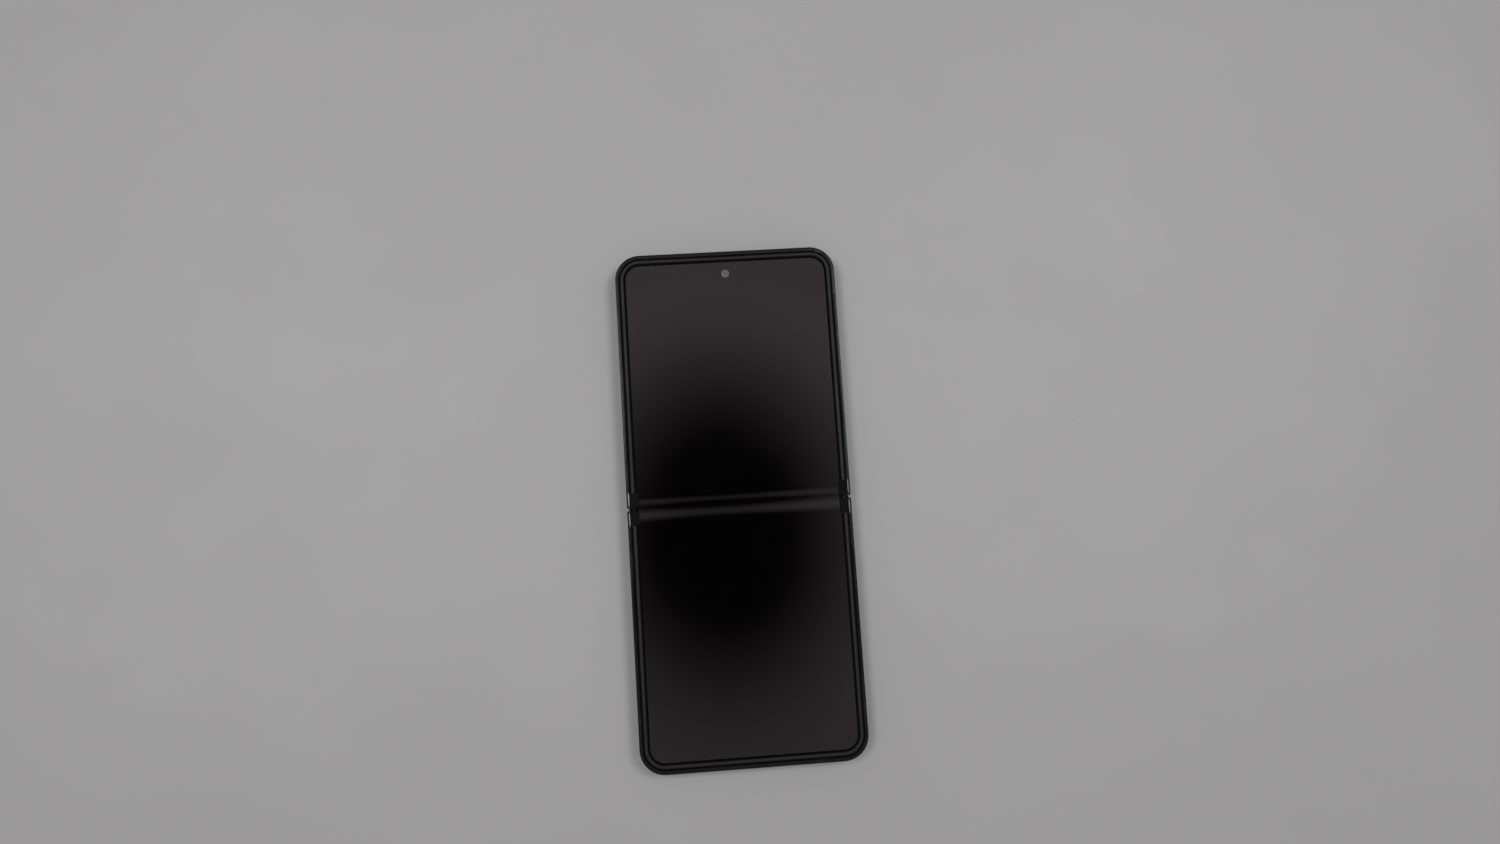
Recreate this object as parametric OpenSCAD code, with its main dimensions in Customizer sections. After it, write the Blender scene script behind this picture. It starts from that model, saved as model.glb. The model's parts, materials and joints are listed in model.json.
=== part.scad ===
// Foldable smartphone, opened flat with its screen up.
// X runs to the key side, Y to the end with the front camera, Z up. The fold runs along X at Y = 0.

/* [Body] */
// Width across the side rails
phone_w = 72.2; // [71:0.1:74]
// Length when open
phone_l = 166; // [164:0.5:170]
// Thickness from the back glass to the top of the side rails
body_t = 6.9; // [6.9:0.05:7.1]
// Outer corner radius
corner_r = 8; // [7:0.5:9]
// Thickness of the side rails
rail_t = 1.6; // [1.5:0.05:1.7]
// Thickness of the back glass
glass_t = 0.65; // [0.5:0.05:0.7]
// Height of the rear lens rings above the back glass
lens_proud = 0.3; // [0.2:0.1:0.6]

/* [Display] */
// Thickness of the flexible display
display_t = 0.45; // [0.35:0.05:0.45]
// Depth of the display surface below the top of the side rails
display_drop = 0.1; // [0.05:0.05:0.15]
// Height of the soft rim above the side rails
rim_h = 0.6; // [0.4:0.05:0.65]
// Distance from the outer edge to the rim along the sides
rim_inset = 1; // [0.8:0.05:1.1]
// Distance from the outer edge to the rim at the ends
rim_end_inset = 1.25; // [1:0.05:1.4]
// Width of the soft rim
rim_w = 2.4; // [2.2:0.05:2.5]
// Width of the crown along the middle of the rim
crown_w = 1.2; // [1:0.05:1.4]

/* [Fold] */
// Radius of the closed display bend
bend_r = 1.75; // [1.7:0.05:1.8]
// Fold of each half about its own axis
fold_angle = 90.4; // [90:0.1:90.6]
// Gap between the two halves
seam = 0.7; // [0.6:0.05:0.8]
// Outer radius of the spine cover around each fold axis
spine_r = 5; // [4.95:0.01:5.05]
// Wall of the spine cover
spine_wall = 0.35; // [0.3:0.05:0.35]
// Running gap around the spine cover
spine_gap = 0.2; // [0.15:0.05:0.25]
// Distance from the fold to the ends of the soft rim
rim_break = 5.3; // [5:0.1:6]

/* [Hinge modules] */
// Inner end of each hinge module
module_x = 18; // [16:0.5:18]
// Thickness of the bracket cheeks
cheek_t = 0.8; // [0.7:0.05:0.8]
// Width of the channel for a rail arm
channel_w = 1.6; // [1.5:0.1:1.7]
// Inner radius of the arc rails
rail_in_r = 2.25; // [2.2:0.05:2.3]
// Outer radius of the arc rails
rail_out_r = 2.95; // [2.9:0.05:3]
// Teeth on each gear
teeth = 12; // [12:4:16]
// Pitch radius of each gear
gear_r = 1.05; // [1.03:0.01:1.06]
// Face width of the gears
gear_w = 1.65; // [1.4:0.05:1.65]
// Radius of the gear pins
pin_r = 0.35; // [0.3:0.05:0.4]
// Length of the sync arms from pin to cross pin
sync_reach = 8.05; // [7.8:0.05:8.2]

/* [Keys and openings] */
// Length of the volume rocker
volume_l = 18.3; // [16:0.1:19]
// Centre of the volume rocker from the fold
volume_y = 49.5; // [48:0.1:51]
// Length of the power key
power_l = 12.5; // [10:0.1:13]
// Centre of the power key from the fold
power_y = 32.45; // [31:0.1:33]
// Height of the keys
key_h = 1.9; // [1.6:0.1:2.2]
// Centre of the card tray from the fold
tray_y = 51.5; // [50:0.1:53]
// Front camera from the fold
camera_y = 75.5; // [75:0.1:76]
// Diameter of the display hole over the front camera
camera_hole_d = 2.9; // [2.7:0.1:3.1]
// Antenna breaks from the fold
break_ys = [15, 66.2];
// Width of an antenna break
break_w = 1.2; // [0.8:0.1:1.4]

/* [Rear] */
// Distance of the rear lenses from the centre line
lens_x = 25; // [24:0.5:25.5]
// Rear lenses from the fold
lens_ys = [74, 61.6];
// Outer radius of a lens ring
lens_r = 5.2; // [4.6:0.1:5.4]
// Lower edge of the cover panel from the fold
panel_y = 49.5; // [48:0.5:50]

/* [Hidden] */
$fn = 48;

half_w = phone_w / 2;
half_l = phone_l / 2;
view_w = half_w - rim_inset - rim_w;    // half the width of the visible display
seam_y = seam / 2;
inner_w = half_w - rail_t;          // inner face of the side rails
inner_l = half_l - rail_t;
big = 400;                          // reaches past everything
eps = 0.01;

// The display keeps its length when it folds: the bend is a half circle whose lowest line stays
// where the flat display was, which fixes both fold axes.
display_z = body_t - display_drop;
axis_y = bend_r * PI / 4;
axis_z = display_z + bend_r * (1 - PI / 4);
display_z0 = display_z - display_t;
strip_w = 3.7;                      // display strip that the spine carries
display_inset = 1.8;
display_gap = 0.05;

plate_t = 0.2;                      // support plate under each display half
plate_z = display_z0 - plate_t;
wing_z = 5.65;                      // wings of the support plate beside the fold
wing_t = 0.3;
wing_x = module_x - 0.4;
wing_y = 4.6;

mid_z = 5.3;                        // underside of the midplate
cradle_y = 8.2;                     // thickness of the cradle block beside the spine
lip_y = 2.3;                        // metal lip between the fold and the back glass
glass_inset = 1.7;
glass_edge_r = 0.4;

spine_l = 2 * (inner_w - 0.2);
spine_top = plate_z - 0.1;
cap_t = 0.8;
fit_gap = 0.05;

// Hinge module, from its inner end to its outer end
rail_x_upper = module_x + cheek_t;
mid_cheek_x = rail_x_upper + channel_w;
rail_x_lower = mid_cheek_x + 2 * cheek_t;
gear_cheek_x = rail_x_lower + channel_w;
gear_cheek_t = 1.2;
gear_x = gear_cheek_x + gear_cheek_t;
gear_bay = 3;
blade_cheek_x = gear_x + gear_bay;
stack_x = blade_cheek_x + cheek_t;
stack_l = 3;
end_cheek_x = stack_x + stack_l;
module_end = end_cheek_x + cheek_t;
pin_x = gear_cheek_x + 0.6;             // inner end of the gear pins
module_r = spine_r - spine_wall - fit_gap;
base_z = 3.05;
cheek_z = 5.9;
cheek_y = 4;
post_w = 0.4;
groove_d = 0.5;
tongue = 0.4;
rail_gap = 0.08;
rail_from = -150;
rail_to = -42;
link_z = 4.75;
link_t = 0.7;
foot_y = [8.2, 12.4];
foot_x = [module_x, gear_cheek_x + 0.6];
foot_holes = [foot_x[0] + 1.4, foot_x[1] - 1.4];
foot_hole_y = 10.4;

board_z = 2.3;                      // both boards
board_t = 0.6;
board_top = board_z + board_t;
battery_y = 16;
battery_z = 1.3;
boss_r = 1.4;
screw_r = 0.5;
screw_l = 2.4;
screw_head_r = 1.1;
screw_head_t = 0.35;
lower_bosses = [[-30.3, 63.4], [30.3, 63.4], [-30.3, 77.6], [30.3, 77.6]];
upper_bosses = [[-30.3, 62.8], [-30.3, 77.6], [-5.8, 77.6], [28.5, 46.5]];

gear_z = 4.9;
gear_m = 2 * gear_r / teeth;
gear_tip = gear_r + 0.65 * gear_m;
gear_root = gear_r - 1.05 * gear_m;
gear_ys = [gear_r, 3 * gear_r];
hub_r = 0.62;
blade_x = gear_x + 0.2 + gear_w;
blade_w = 1.05;
blade_h = 0.7;
eye_r = 0.65;
sync_drop = 0.55;
cross_pin_r = 0.35;
cross_pin_l = 2.5;
sync_eye = [3 * gear_r + sync_reach, gear_z - sync_drop];

// The cross pin of a sync arm runs on this arc, seen from the half
slot_c = [axis_y + sync_reach, axis_z - sync_drop];
slot_r = norm([3 * gear_r - axis_y, gear_z - axis_z]);
slot_a = atan2(gear_z - axis_z, 3 * gear_r - axis_y);
slot_gap = 0.08;
plate_x = [blade_x - 0.75, blade_x + blade_w + 0.2];
slot_plate_t = 0.6;
slot_plate = [[6.4, 2.7], [12.4, 5.7]];

key_z = 3.6;
key_gap = 0.15;
key_proud = 0.35;
power_sunk = 0.15;
flange_x = inner_w - 0.35;          // outer face of the flange behind a key
flange_t = 0.35;
flange_over = 1;                    // how much longer the flange is than its key
key_travel = 0.3;
dome_h = 0.3;
switch_x = flange_x - flange_t - key_travel - dome_h - 0.05;
volume_press_y = 5;                 // from the middle of the rocker to each switch
rocker_x = flange_x - flange_t - 0.05;

tray_l = 15.2;
tray_h = 1.9;
tray_t = 0.9;
tray_w = 12;
tray_reach = 16.5;
tray_gap = 0.1;
eject_r = 0.45;

usb_w = 8.94;
usb_h = 3.16;
usb_z = 3.5;
usb_wall = 0.3;
usb_l = 7;
usb_y = half_l - 0.25 - usb_l;      // back of the port
port_gap = 0.08;
rail_cut = 4;                       // length of the cuts through a rail

ear_l = 14.6;
ear_w = 0.7;
ear_x = -0.5;
ear_y = half_l - 2.15;
ear_rib_x = 3;
ear_rib_w = 0.4;
front_barrel_r = 2.2;

speaker_hole_r = 0.5;
speaker_x = 9.4;
speaker_pitch = 1.9;
speaker_n = 5;
speaker_at = [8, 65, 1.3];
speaker_size = [20, 13, 3.6];
motor_at = [-28.2, 65.2, 1.4];
motor_size = [15, 8.2, 3.4];
mic_x = -9;
top_mic_x = -14;
mic_hole_r = 0.4;
flex_w = 20;

flash_y = 53.8;
flash_r = 1.9;
panel_gap = 0.15;
lens_ring_t = 0.75;

black_metal = [0.11, 0.11, 0.12];
black_glass = [0.05, 0.05, 0.06];
rim_grey = [0.16, 0.16, 0.17];
steel = [0.62, 0.63, 0.65];
brass = [0.75, 0.62, 0.35];
board_green = [0.08, 0.25, 0.2];
battery_grey = [0.24, 0.24, 0.26];
flex_brown = [0.42, 0.24, 0.1];
module_black = [0.12, 0.12, 0.13];

// ---------- shared shapes ----------

// Everything below is drawn on the half with positive Y; the lower half is its mirror
module lower_half() mirror([0, 1, 0]) children();

module both_sides() {
    children();
    mirror([1, 0, 0]) children();
}

// A YZ profile given depth along X
module slab(x, w) translate([x, 0, 0]) rotate([90, 0, 90]) linear_extrude(w) children();

// Box between two corners
module block(a, b) translate(a) cube(b - a);

module disc(x, y, z, r, h) translate([x, y, z]) cylinder(r = r, h = h);

// Bar with half-round ends, drawn flat and centred
module stadium(l, w) {
    square([l - w, w], center = true);
    for (s = [-1, 1]) translate([s * (l - w) / 2, 0]) circle(d = w);
}

// Rectangle with round corners, drawn from its lower left corner
module rounded(size, r) {
    translate([r, 0]) square([size[0] - 2 * r, size[1]]);
    translate([0, r]) square([size[0], size[1] - 2 * r]);
    for (x = [r, size[0] - r], y = [r, size[1] - r]) translate([x, y]) circle(r);
}

// Flat block with round corners; the third size is its height
module tile(at, size, r) translate(at) linear_extrude(size[2]) rounded(size, r);

// Bar with half-round ends that lies along a side rail, from x outward or inward by its depth
module side_bar(x, y, l, h, depth) translate([x, y, key_z])
    rotate([90, 0, 90]) linear_extrude(depth) stadium(l, h);

// Round hole through an end rail
module end_hole(x, r) translate([x, inner_l - rail_cut / 2, usb_z])
    rotate([-90, 0, 0]) cylinder(r = r, h = rail_cut);

// Outline of one half, a distance in from the outer edge
module half_outline(inset, y0) {
    w = half_w - inset;
    l = half_l - inset;
    c = corner_r - inset;
    translate([-w, y0]) square([2 * w, l - c - y0]);
    translate([-(w - c), y0]) square([2 * (w - c), l - y0]);
    for (s = [-1, 1]) translate([s * (w - c), l - c]) circle(c);
}

module half_plate(inset, y0, z0, z1) translate([0, 0, z0]) linear_extrude(z1 - z0) half_outline(inset, y0);

// Sweeps a profile around the three outer sides of a half. In the profile, x is the distance
// outward from the path and y is the height.
module edge_sweep(w, l, r, y0) {
    both_sides() {
        translate([w, l - r, 0]) rotate([90, 0, 0]) linear_extrude(l - r - y0) children();
        translate([w - r, l - r, 0]) rotate_extrude(angle = 90) translate([r, 0]) children();
    }
    translate([-(w - r), l, 0]) rotate([90, 0, 90]) linear_extrude(2 * (w - r)) children();
}

// Sector of a ring
module arc_band(r0, r1, from, to) {
    step = (to - from) / 6;
    intersection() {
        difference() {
            circle(r1);
            circle(r0);
        }
        polygon(concat([[0, 0]], [for (i = [0:6]) 2 * r1 * [cos(from + i * step), sin(from + i * step)]]));
    }
}

// Section of the spine: two circles about the fold axes and what lies between them
module spine_section(r, top) {
    intersection() {
        union() {
            for (s = [-1, 1]) translate([s * axis_y, axis_z]) circle(r);
            translate([-axis_y, axis_z - r]) square([2 * axis_y, r]);
        }
        translate([-2 * r, 0]) square([4 * r, top]);
    }
}

// ---------- parts that both halves have ----------

module rail_profile() {
    foot_r = 1.3;
    brow_r = 0.4;
    low = 0.2;
    intersection() {
        translate([-rail_t, low]) square([rail_t, body_t - low]);
        union() {
            translate([-rail_t, low]) square([rail_t - foot_r, body_t - low]);
            translate([-rail_t, low + foot_r]) square([rail_t, body_t - low - foot_r - brow_r]);
            translate([-foot_r, low + foot_r]) circle(foot_r);
            translate([-rail_t, low + foot_r]) square([rail_t - brow_r, body_t - low - foot_r]);
            translate([-brow_r, body_t - brow_r]) circle(brow_r);
        }
    }
}

module rails() edge_sweep(half_w, half_l, corner_r, seam_y) rail_profile();

// Block that hugs the spine: a metal lip at the back and a hollow around the fold axis
module cradle_section(y1) {
    difference() {
        union() {
            translate([seam_y, 0]) square([lip_y - 0.1 - seam_y, plate_z]);
            translate([seam_y, glass_t + 0.05]) square([y1 - seam_y, plate_z - glass_t - 0.05]);
        }
        translate([axis_y, axis_z]) circle(spine_r + spine_gap);
    }
}

module frame_body(bosses) {
    corner_cut = 0.6;
    pocket_y = 4;
    pocket_gap = 0.2;
    block_x = module_x - 0.8;
    block_w = gear_x + gear_bay + 2.2 - module_x;
    difference() {
        union() {
            rails();
            slab(-inner_w, 2 * inner_w) cradle_section(cradle_y);
            half_plate(rail_t - eps, cradle_y - 0.1, mid_z, plate_z);
            both_sides() slab(block_x, block_w) cradle_section(foot_y[1] + 1);
            for (p = bosses) disc(p[0], p[1], board_top, boss_r, mid_z - board_top + eps);
        }
        both_sides() {
            // pocket for the foot of a rail arm
            block([foot_x[0] - pocket_gap, pocket_y, link_z],
                  [foot_x[1] + pocket_gap, foot_y[1] + pocket_gap, body_t]);
            // pocket for a slot bracket
            block([plate_x[0] - pocket_gap, pocket_y, slot_plate[0][1]],
                  [plate_x[1] + slot_plate_t + pocket_gap, slot_plate[1][0] + pocket_gap, body_t]);
            // rounded corner of the rail at the fold
            translate([half_w - corner_cut, seam_y + corner_cut, -1]) difference() {
                translate([0, -2, 0]) cube([2, 2, body_t + 2]);
                cylinder(r = corner_cut, h = body_t + 2);
            }
            // antenna breaks
            for (y = break_ys)
                block([inner_w - 0.2, y - break_w / 2, -1], [half_w + 1, y + break_w / 2, body_t + 1]);
        }
        for (p = bosses) disc(p[0], p[1], board_z, screw_r, screw_l + 0.3);
    }
}

module antenna_breaks() {
    both_sides() for (y = break_ys) translate([half_w, y + break_w / 2, 0])
        rotate([90, 0, 0]) linear_extrude(break_w) difference() {
            rail_profile();
            translate([-rail_t - 1, 0]) square([0.8, body_t + 1]);
        }
}

// Back pane with a rounded outer edge, between two distances from the fold
module pane(y0, y1, end) {
    r = glass_edge_r;
    module edge() {
        intersection() {
            translate([-r, r]) circle(r);
            translate([-r, 0]) square([r, r]);
        }
        translate([-r, r]) square([r, glass_t - r]);
    }
    if (end) {
        difference() {
            half_plate(glass_inset + r - eps, y0, 0, glass_t);
            if (y1 < half_l) block([-big, y1, -1], [big, big, 2]);
        }
        edge_sweep(half_w - glass_inset, half_l - glass_inset, corner_r - glass_inset, y0) edge();
    } else {
        w = half_w - glass_inset;
        block([-w + r - eps, y0, 0], [w - r + eps, y1, glass_t]);
        both_sides() translate([w, y1, 0]) rotate([90, 0, 0]) linear_extrude(y1 - y0) edge();
    }
}

// Section of the soft rim: a thin lip on each side of a rounded crown
module rim_profile() {
    lip_h = 0.15;
    crown_x = -(rim_w + crown_w) / 2;
    shoulder_r = rim_h - lip_h;
    translate([-rim_w, 0]) square([rim_w, lip_h]);
    translate([crown_x + shoulder_r, 0]) square([crown_w - 2 * shoulder_r, rim_h]);
    for (x = [crown_x + shoulder_r, crown_x + crown_w - shoulder_r]) intersection() {
        translate([x, lip_h]) circle(shoulder_r);
        translate([-rim_w, lip_h - eps]) square([rim_w, rim_h]);
    }
}

module rim() translate([0, 0, body_t])
    edge_sweep(half_w - rim_inset, half_l - rim_end_inset, corner_r - rim_inset, rim_break) rim_profile();

// Flat covers beside the fold, where the rim stops
module rim_ends() {
    end_x = [view_w - 0.4, half_w - rim_inset - 0.1];
    end_y = [seam_y + 0.1, rim_break - 0.15];
    end_h = 0.33;
    r = 0.5;
    both_sides() translate([0, 0, body_t]) linear_extrude(end_h) {
        translate([end_x[0], end_y[0] + r]) square([end_x[1] - end_x[0], end_y[1] - end_y[0] - r]);
        translate([end_x[0] + r, end_y[0]]) square([end_x[1] - end_x[0] - 2 * r, 2 * r]);
        for (x = [end_x[0] + r, end_x[1] - r]) translate([x, end_y[0] + r]) circle(r);
    }
}

module display_half() half_plate(display_inset, strip_w / 2 + display_gap, display_z0, display_z);

// Sheet under the display, with a lower wing that reaches over the spine
module support_plate() {
    half_plate(display_inset + 0.2, wing_y, plate_z, display_z0);
    block([-wing_x, seam_y, wing_z], [wing_x, wing_y + wing_t, wing_z + wing_t]);
    block([-wing_x, wing_y, wing_z], [wing_x, wing_y + wing_t, plate_z + eps]);
}

// Arm with an arc rail about the fold axis; its foot is screwed to the half
module rail_arms(channel_x) {
    both_sides() difference() {
        union() {
            slab(channel_x - tongue, channel_w + 2 * tongue)
                translate([axis_y, axis_z]) arc_band(rail_in_r, rail_out_r, rail_from, rail_to);
            slab(channel_x + 0.1, channel_w - 0.2)
                translate([3, link_z]) square([foot_y[0] - 3 + eps, link_t]);
            block([foot_x[0], foot_y[0], link_z], [foot_x[1], foot_y[1], link_z + link_t]);
        }
        for (x = foot_holes) disc(x, foot_hole_y, link_z - 1, screw_r, 3);
    }
}

// Bracket on a half: the cross pin of a sync arm slides in its two curved slots
module slot_brackets() {
    slot_h = cross_pin_r + slot_gap;
    a1 = slot_a + 1;
    a0 = slot_a - fold_angle - 1;
    y0 = slot_plate[0][0];
    z0 = slot_plate[0][1];
    y1 = slot_plate[1][0];
    z1 = slot_plate[1][1];
    x1 = plate_x[1] + slot_plate_t;
    both_sides() {
        for (x = plate_x) slab(x, slot_plate_t) difference() {
            translate([y0, z0]) square([y1 - y0, z1 - z0]);
            translate([axis_y, axis_z]) circle(spine_r + spine_gap + 0.05);
            translate(slot_c) {
                arc_band(slot_r - slot_h, slot_r + slot_h, a0, a1);
                for (a = [a0, a1]) rotate(a) translate([slot_r, 0]) circle(slot_h);
            }
        }
        block([plate_x[0], y0 + 1.1, z0], [x1, y1, z0 + 0.3]);
        block([plate_x[0], y1 - 0.4, z0], [x1, y1, z1]);
    }
}

// Small pan-head screws that hold the boards and the rail arms
module screws(bosses) {
    for (p = bosses) {
        disc(p[0], p[1], board_z - screw_head_t, screw_head_r, screw_head_t);
        disc(p[0], p[1], board_z - eps, screw_r - 0.02, screw_l);
    }
    both_sides() for (x = foot_holes) {
        disc(x, foot_hole_y, link_z + link_t, screw_head_r, screw_head_t);
        disc(x, foot_hole_y, link_z + eps, screw_r - 0.02, link_t);
    }
}

// ---------- hinge ----------

function tooth_half(r) =
    let (p = 20, base = gear_r * cos(p), a = acos(min(1, base / r)),
         lean = (tan(p) - p * PI / 180) - (tan(a) - a * PI / 180))
    0.92 * 90 / teeth + lean * 180 / PI;

// Involute gear; a turn of half a tooth puts a gap where the next gear has a tooth
module gear(phase) {
    base = gear_r * cos(20);
    radii = [gear_root, base, (base + gear_tip) / 2, gear_tip];
    polygon([for (i = [0:teeth - 1], s = [-1, 1], k = [0:3])
        let (r = radii[s < 0 ? k : 3 - k], a = (i + phase) * 360 / teeth + s * tooth_half(max(r, base)))
        r * [cos(a), sin(a)]]);
}

module gear_at(y, phase) translate([y, gear_z]) difference() {
    gear(phase);
    circle(pin_r + fit_gap);
}

module idlers(phase) both_sides() slab(gear_x + 0.2, gear_w) gear_at(gear_ys[0], phase);

// Gear on a pin in the spine, with a blade whose cross pin slides in the slot bracket
module sync_arms(phase) {
    both_sides() {
        slab(gear_x + 0.2, gear_w) gear_at(gear_ys[1], phase);
        slab(blade_x, blade_w) difference() {
            union() {
                translate([gear_ys[1], gear_z]) circle(hub_r + 0.2);
                translate(sync_eye) circle(eye_r);
                translate([gear_ys[1], gear_z]) rotate(-atan(sync_drop / sync_reach))
                    translate([0, -blade_h / 2]) square([norm([sync_reach, sync_drop]), blade_h]);
            }
            translate([gear_ys[1], gear_z]) circle(pin_r + fit_gap);
        }
        slab(blade_x + blade_w / 2 - cross_pin_l / 2, cross_pin_l) translate(sync_eye) circle(cross_pin_r);
    }
}

module cheek_section() {
    intersection() {
        spine_section(module_r, cheek_z);
        translate([-cheek_y, 0]) square([2 * cheek_y, cheek_z]);
    }
    translate([-post_w / 2, cheek_z - eps]) square([post_w, display_z0 - cheek_z + eps]);
}

module groove_section() translate([axis_y, axis_z])
    arc_band(rail_in_r - rail_gap, rail_out_r + rail_gap, rail_from - 8, rail_to + 20);

module pin_holes(ys) for (s = [-1, 1], y = ys) translate([s * y, gear_z]) circle(pin_r + 0.02);

// Base and cheeks of one hinge module. The grooves are arcs about the fold axes.
module hinge_bracket() {
    slab(module_x, module_end - module_x) spine_section(module_r, base_z);
    difference() {
        union() {
            slab(module_x, cheek_t) cheek_section();
            slab(mid_cheek_x, 2 * cheek_t) cheek_section();
            slab(gear_cheek_x, gear_cheek_t) cheek_section();
        }
        for (x = [rail_x_upper - groove_d, mid_cheek_x - eps]) slab(x, groove_d + eps) groove_section();
        for (x = [rail_x_lower - groove_d, gear_cheek_x - eps])
            mirror([0, 1, 0]) slab(x, groove_d + eps) groove_section();
        slab(gear_cheek_x + 0.6, gear_cheek_t) pin_holes(gear_ys);
    }
    slab(blade_cheek_x, cheek_t) difference() {
        cheek_section();
        pin_holes(gear_ys);
    }
    slab(end_cheek_x, cheek_t) difference() {
        cheek_section();
        pin_holes([gear_ys[1]]);
    }
}

// ---------- lower half ----------

module lower_frame() color(black_metal) lower_half() difference() {
    frame_body(lower_bosses);
    translate([0, inner_l - rail_cut / 2, usb_z]) rotate([-90, 0, 0])
        linear_extrude(rail_cut) stadium(usb_w + 2 * port_gap, usb_h + 2 * port_gap);
    for (i = [0:speaker_n - 1]) end_hole(speaker_x + i * speaker_pitch, speaker_hole_r);
    end_hole(mic_x, mic_hole_r);
}

module lower_antenna_breaks() color(rim_grey) lower_half() antenna_breaks();

module lower_back_glass() color(black_glass) lower_half() pane(lip_y, big, true);

module lower_rim() color(rim_grey) lower_half() rim();

module lower_rim_ends() color(rim_grey) lower_half() rim_ends();

module lower_display() color(black_glass) lower_half() display_half();

module lower_support_plate() color(steel) lower_half() support_plate();

module lower_battery() color(battery_grey) lower_half() battery(41, 40);

// Pouch cell, and the strip along its end that holds the protection circuit
module battery(l, circuit_w) {
    size = [54, l, 3.7];
    circuit_l = 3.3;
    circuit_z = [2.6, 4.4];
    end_y = battery_y + l;
    tile([-size[0] / 2, battery_y, battery_z], size, 2);
    block([-circuit_w / 2, end_y - 0.1, circuit_z[0]], [circuit_w / 2, end_y + circuit_l, circuit_z[1]]);
}

module charging_board() color(board_green) lower_half() difference() {
    size = [65, 18.5, board_t];
    tile([-size[0] / 2, 61.5, board_z], size, 3);
    board_window([-usb_w / 2 - 1, usb_y - 1.8], [usb_w + 2, usb_l]);
    // the loudspeaker's window is open to the end of the board, for its duct
    board_window(speaker_at, speaker_size + [0, 5, 0]);
    board_window(motor_at, motor_size);
    for (p = lower_bosses) disc(p[0], p[1], board_z - 1, screw_r, board_t + 2);
}

// Opening in a board, a gap wider than the module that stands in it
module board_window(at, size) {
    gap = 0.6;
    block([at[0] - gap, at[1] - gap, board_z - 1],
          [at[0] + size[0] + gap, at[1] + size[1] + gap, board_top + 1]);
}

// Seamless shell with a back wall, a contact tongue and two feet on the board
module usb_c_port() color(steel) lower_half() {
    back_t = 0.8;
    tongue_size = [6.7, 0.7];
    tongue_back = 0.9;                  // from the mouth of the shell to the tongue
    solder_x = [4.2, 7.2];
    solder_y = [usb_y + 0.8, usb_y + 3.2];
    solder_t = 0.3;
    translate([0, usb_y, usb_z]) rotate([-90, 0, 0]) {
        linear_extrude(back_t) stadium(usb_w, usb_h);
        linear_extrude(usb_l) difference() {
            stadium(usb_w, usb_h);
            stadium(usb_w - 2 * usb_wall, usb_h - 2 * usb_wall);
        }
        translate([0, 0, back_t - 0.1]) linear_extrude(usb_l - tongue_back - back_t + 0.1)
            square(tongue_size, center = true);
    }
    both_sides() block([solder_x[0], solder_y[0], board_top],
                       [solder_x[1], solder_y[1], board_top + solder_t]);
}

// Sealed box, and the duct that leads to the row of holes in the end rail
module loudspeaker() color(module_black) lower_half() {
    duct_z = [2.6, 4.4];
    duct_side = 0.9;
    tile(speaker_at, speaker_size, 1.5);
    block([speaker_x - duct_side, speaker_at[1] + speaker_size[1] - 0.1, duct_z[0]],
          [speaker_x + (speaker_n - 1) * speaker_pitch + duct_side, inner_l - 0.1, duct_z[1]]);
}

module vibration_motor() color(steel) lower_half() tile(motor_at, motor_size, 1.2);

// Flat copper loops on a ferrite sheet
module charging_coil() color(brass) lower_half() {
    sheet = [46, 42, 0.2];
    sheet_z = 1;
    loops = 5;
    loop_r = 19;
    loop_pitch = 2;
    wire = [1.1, 0.25];
    coil_y = battery_y + 1 + sheet[1] / 2;
    tile([-sheet[0] / 2, coil_y - sheet[1] / 2, sheet_z], sheet, 3);
    translate([0, coil_y, sheet_z - wire[1]]) for (i = [0:loops - 1])
        linear_extrude(wire[1] + eps) difference() {
            circle(loop_r - loop_pitch * i);
            circle(loop_r - loop_pitch * i - wire[0]);
        }
}

module bottom_microphone() color(steel) lower_half() {
    size = [3.2, 3, 1.1];
    tile([mic_x - size[0] / 2, 77, board_top], size, 0.3);
}

module lower_magnets() color(steel) lower_half() magnets();

// Magnets that hold the phone closed, one near each outer corner
module magnets() both_sides() {
    size = [5, 1.6, 0.85];
    translate([22.5, inner_l - 0.1 - size[1], mid_z - size[2]]) cube(size);
}

module lower_rail_arms() color(steel) lower_half() rail_arms(rail_x_lower);

module lower_slot_brackets() color(steel) lower_half() slot_brackets();

module lower_screws() color(steel) lower_half() screws(lower_bosses);

// Cable from the charging board to the fold, under the midplate
module lower_flex() color(flex_brown) lower_half() half_flex(62);

// Wide at the fold, narrower where it runs over the battery
module half_flex(end_y) {
    foot_end = 15;
    tail_w = 8;
    t = 0.2;
    block([-flex_w / 2, cradle_y + 0.2, mid_z - t], [flex_w / 2, foot_end, mid_z]);
    block([-tail_w / 2, foot_end - 0.1, mid_z - t], [tail_w / 2, end_y, mid_z]);
}

// ---------- upper half ----------

module upper_frame() color(black_metal) difference() {
    frame_body(upper_bosses);
    // key openings in the right rail, and the slot for the card tray in the left rail
    side_bar(inner_w - 1, volume_y, volume_l + 2 * key_gap, key_h + 2 * key_gap, rail_cut);
    side_bar(inner_w - 1, power_y, power_l + 2 * key_gap, key_h + 2 * key_gap, rail_cut);
    side_bar(-half_w - 1, tray_y, tray_l + 2 * tray_gap, tray_h + 2 * tray_gap, rail_cut);
    // front camera and earpiece pass through the midplate
    disc(0, camera_y, mid_z - 1, front_barrel_r + 0.4, 3);
    ear_path(ear_w);
    end_hole(top_mic_x, mic_hole_r);
}

module upper_antenna_breaks() color(rim_grey) antenna_breaks();

module upper_back_glass() color(black_glass) pane(lip_y, panel_y - panel_gap, false);

// Glass over the cover display, with holes for the lens rings and the flash
module cover_panel() color(black_glass) difference() {
    pane(panel_y, big, true);
    for (y = lens_ys) disc(lens_x, y, -1, lens_r, 2);
    disc(lens_x, flash_y, -1, flash_r, 2);
}

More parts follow.
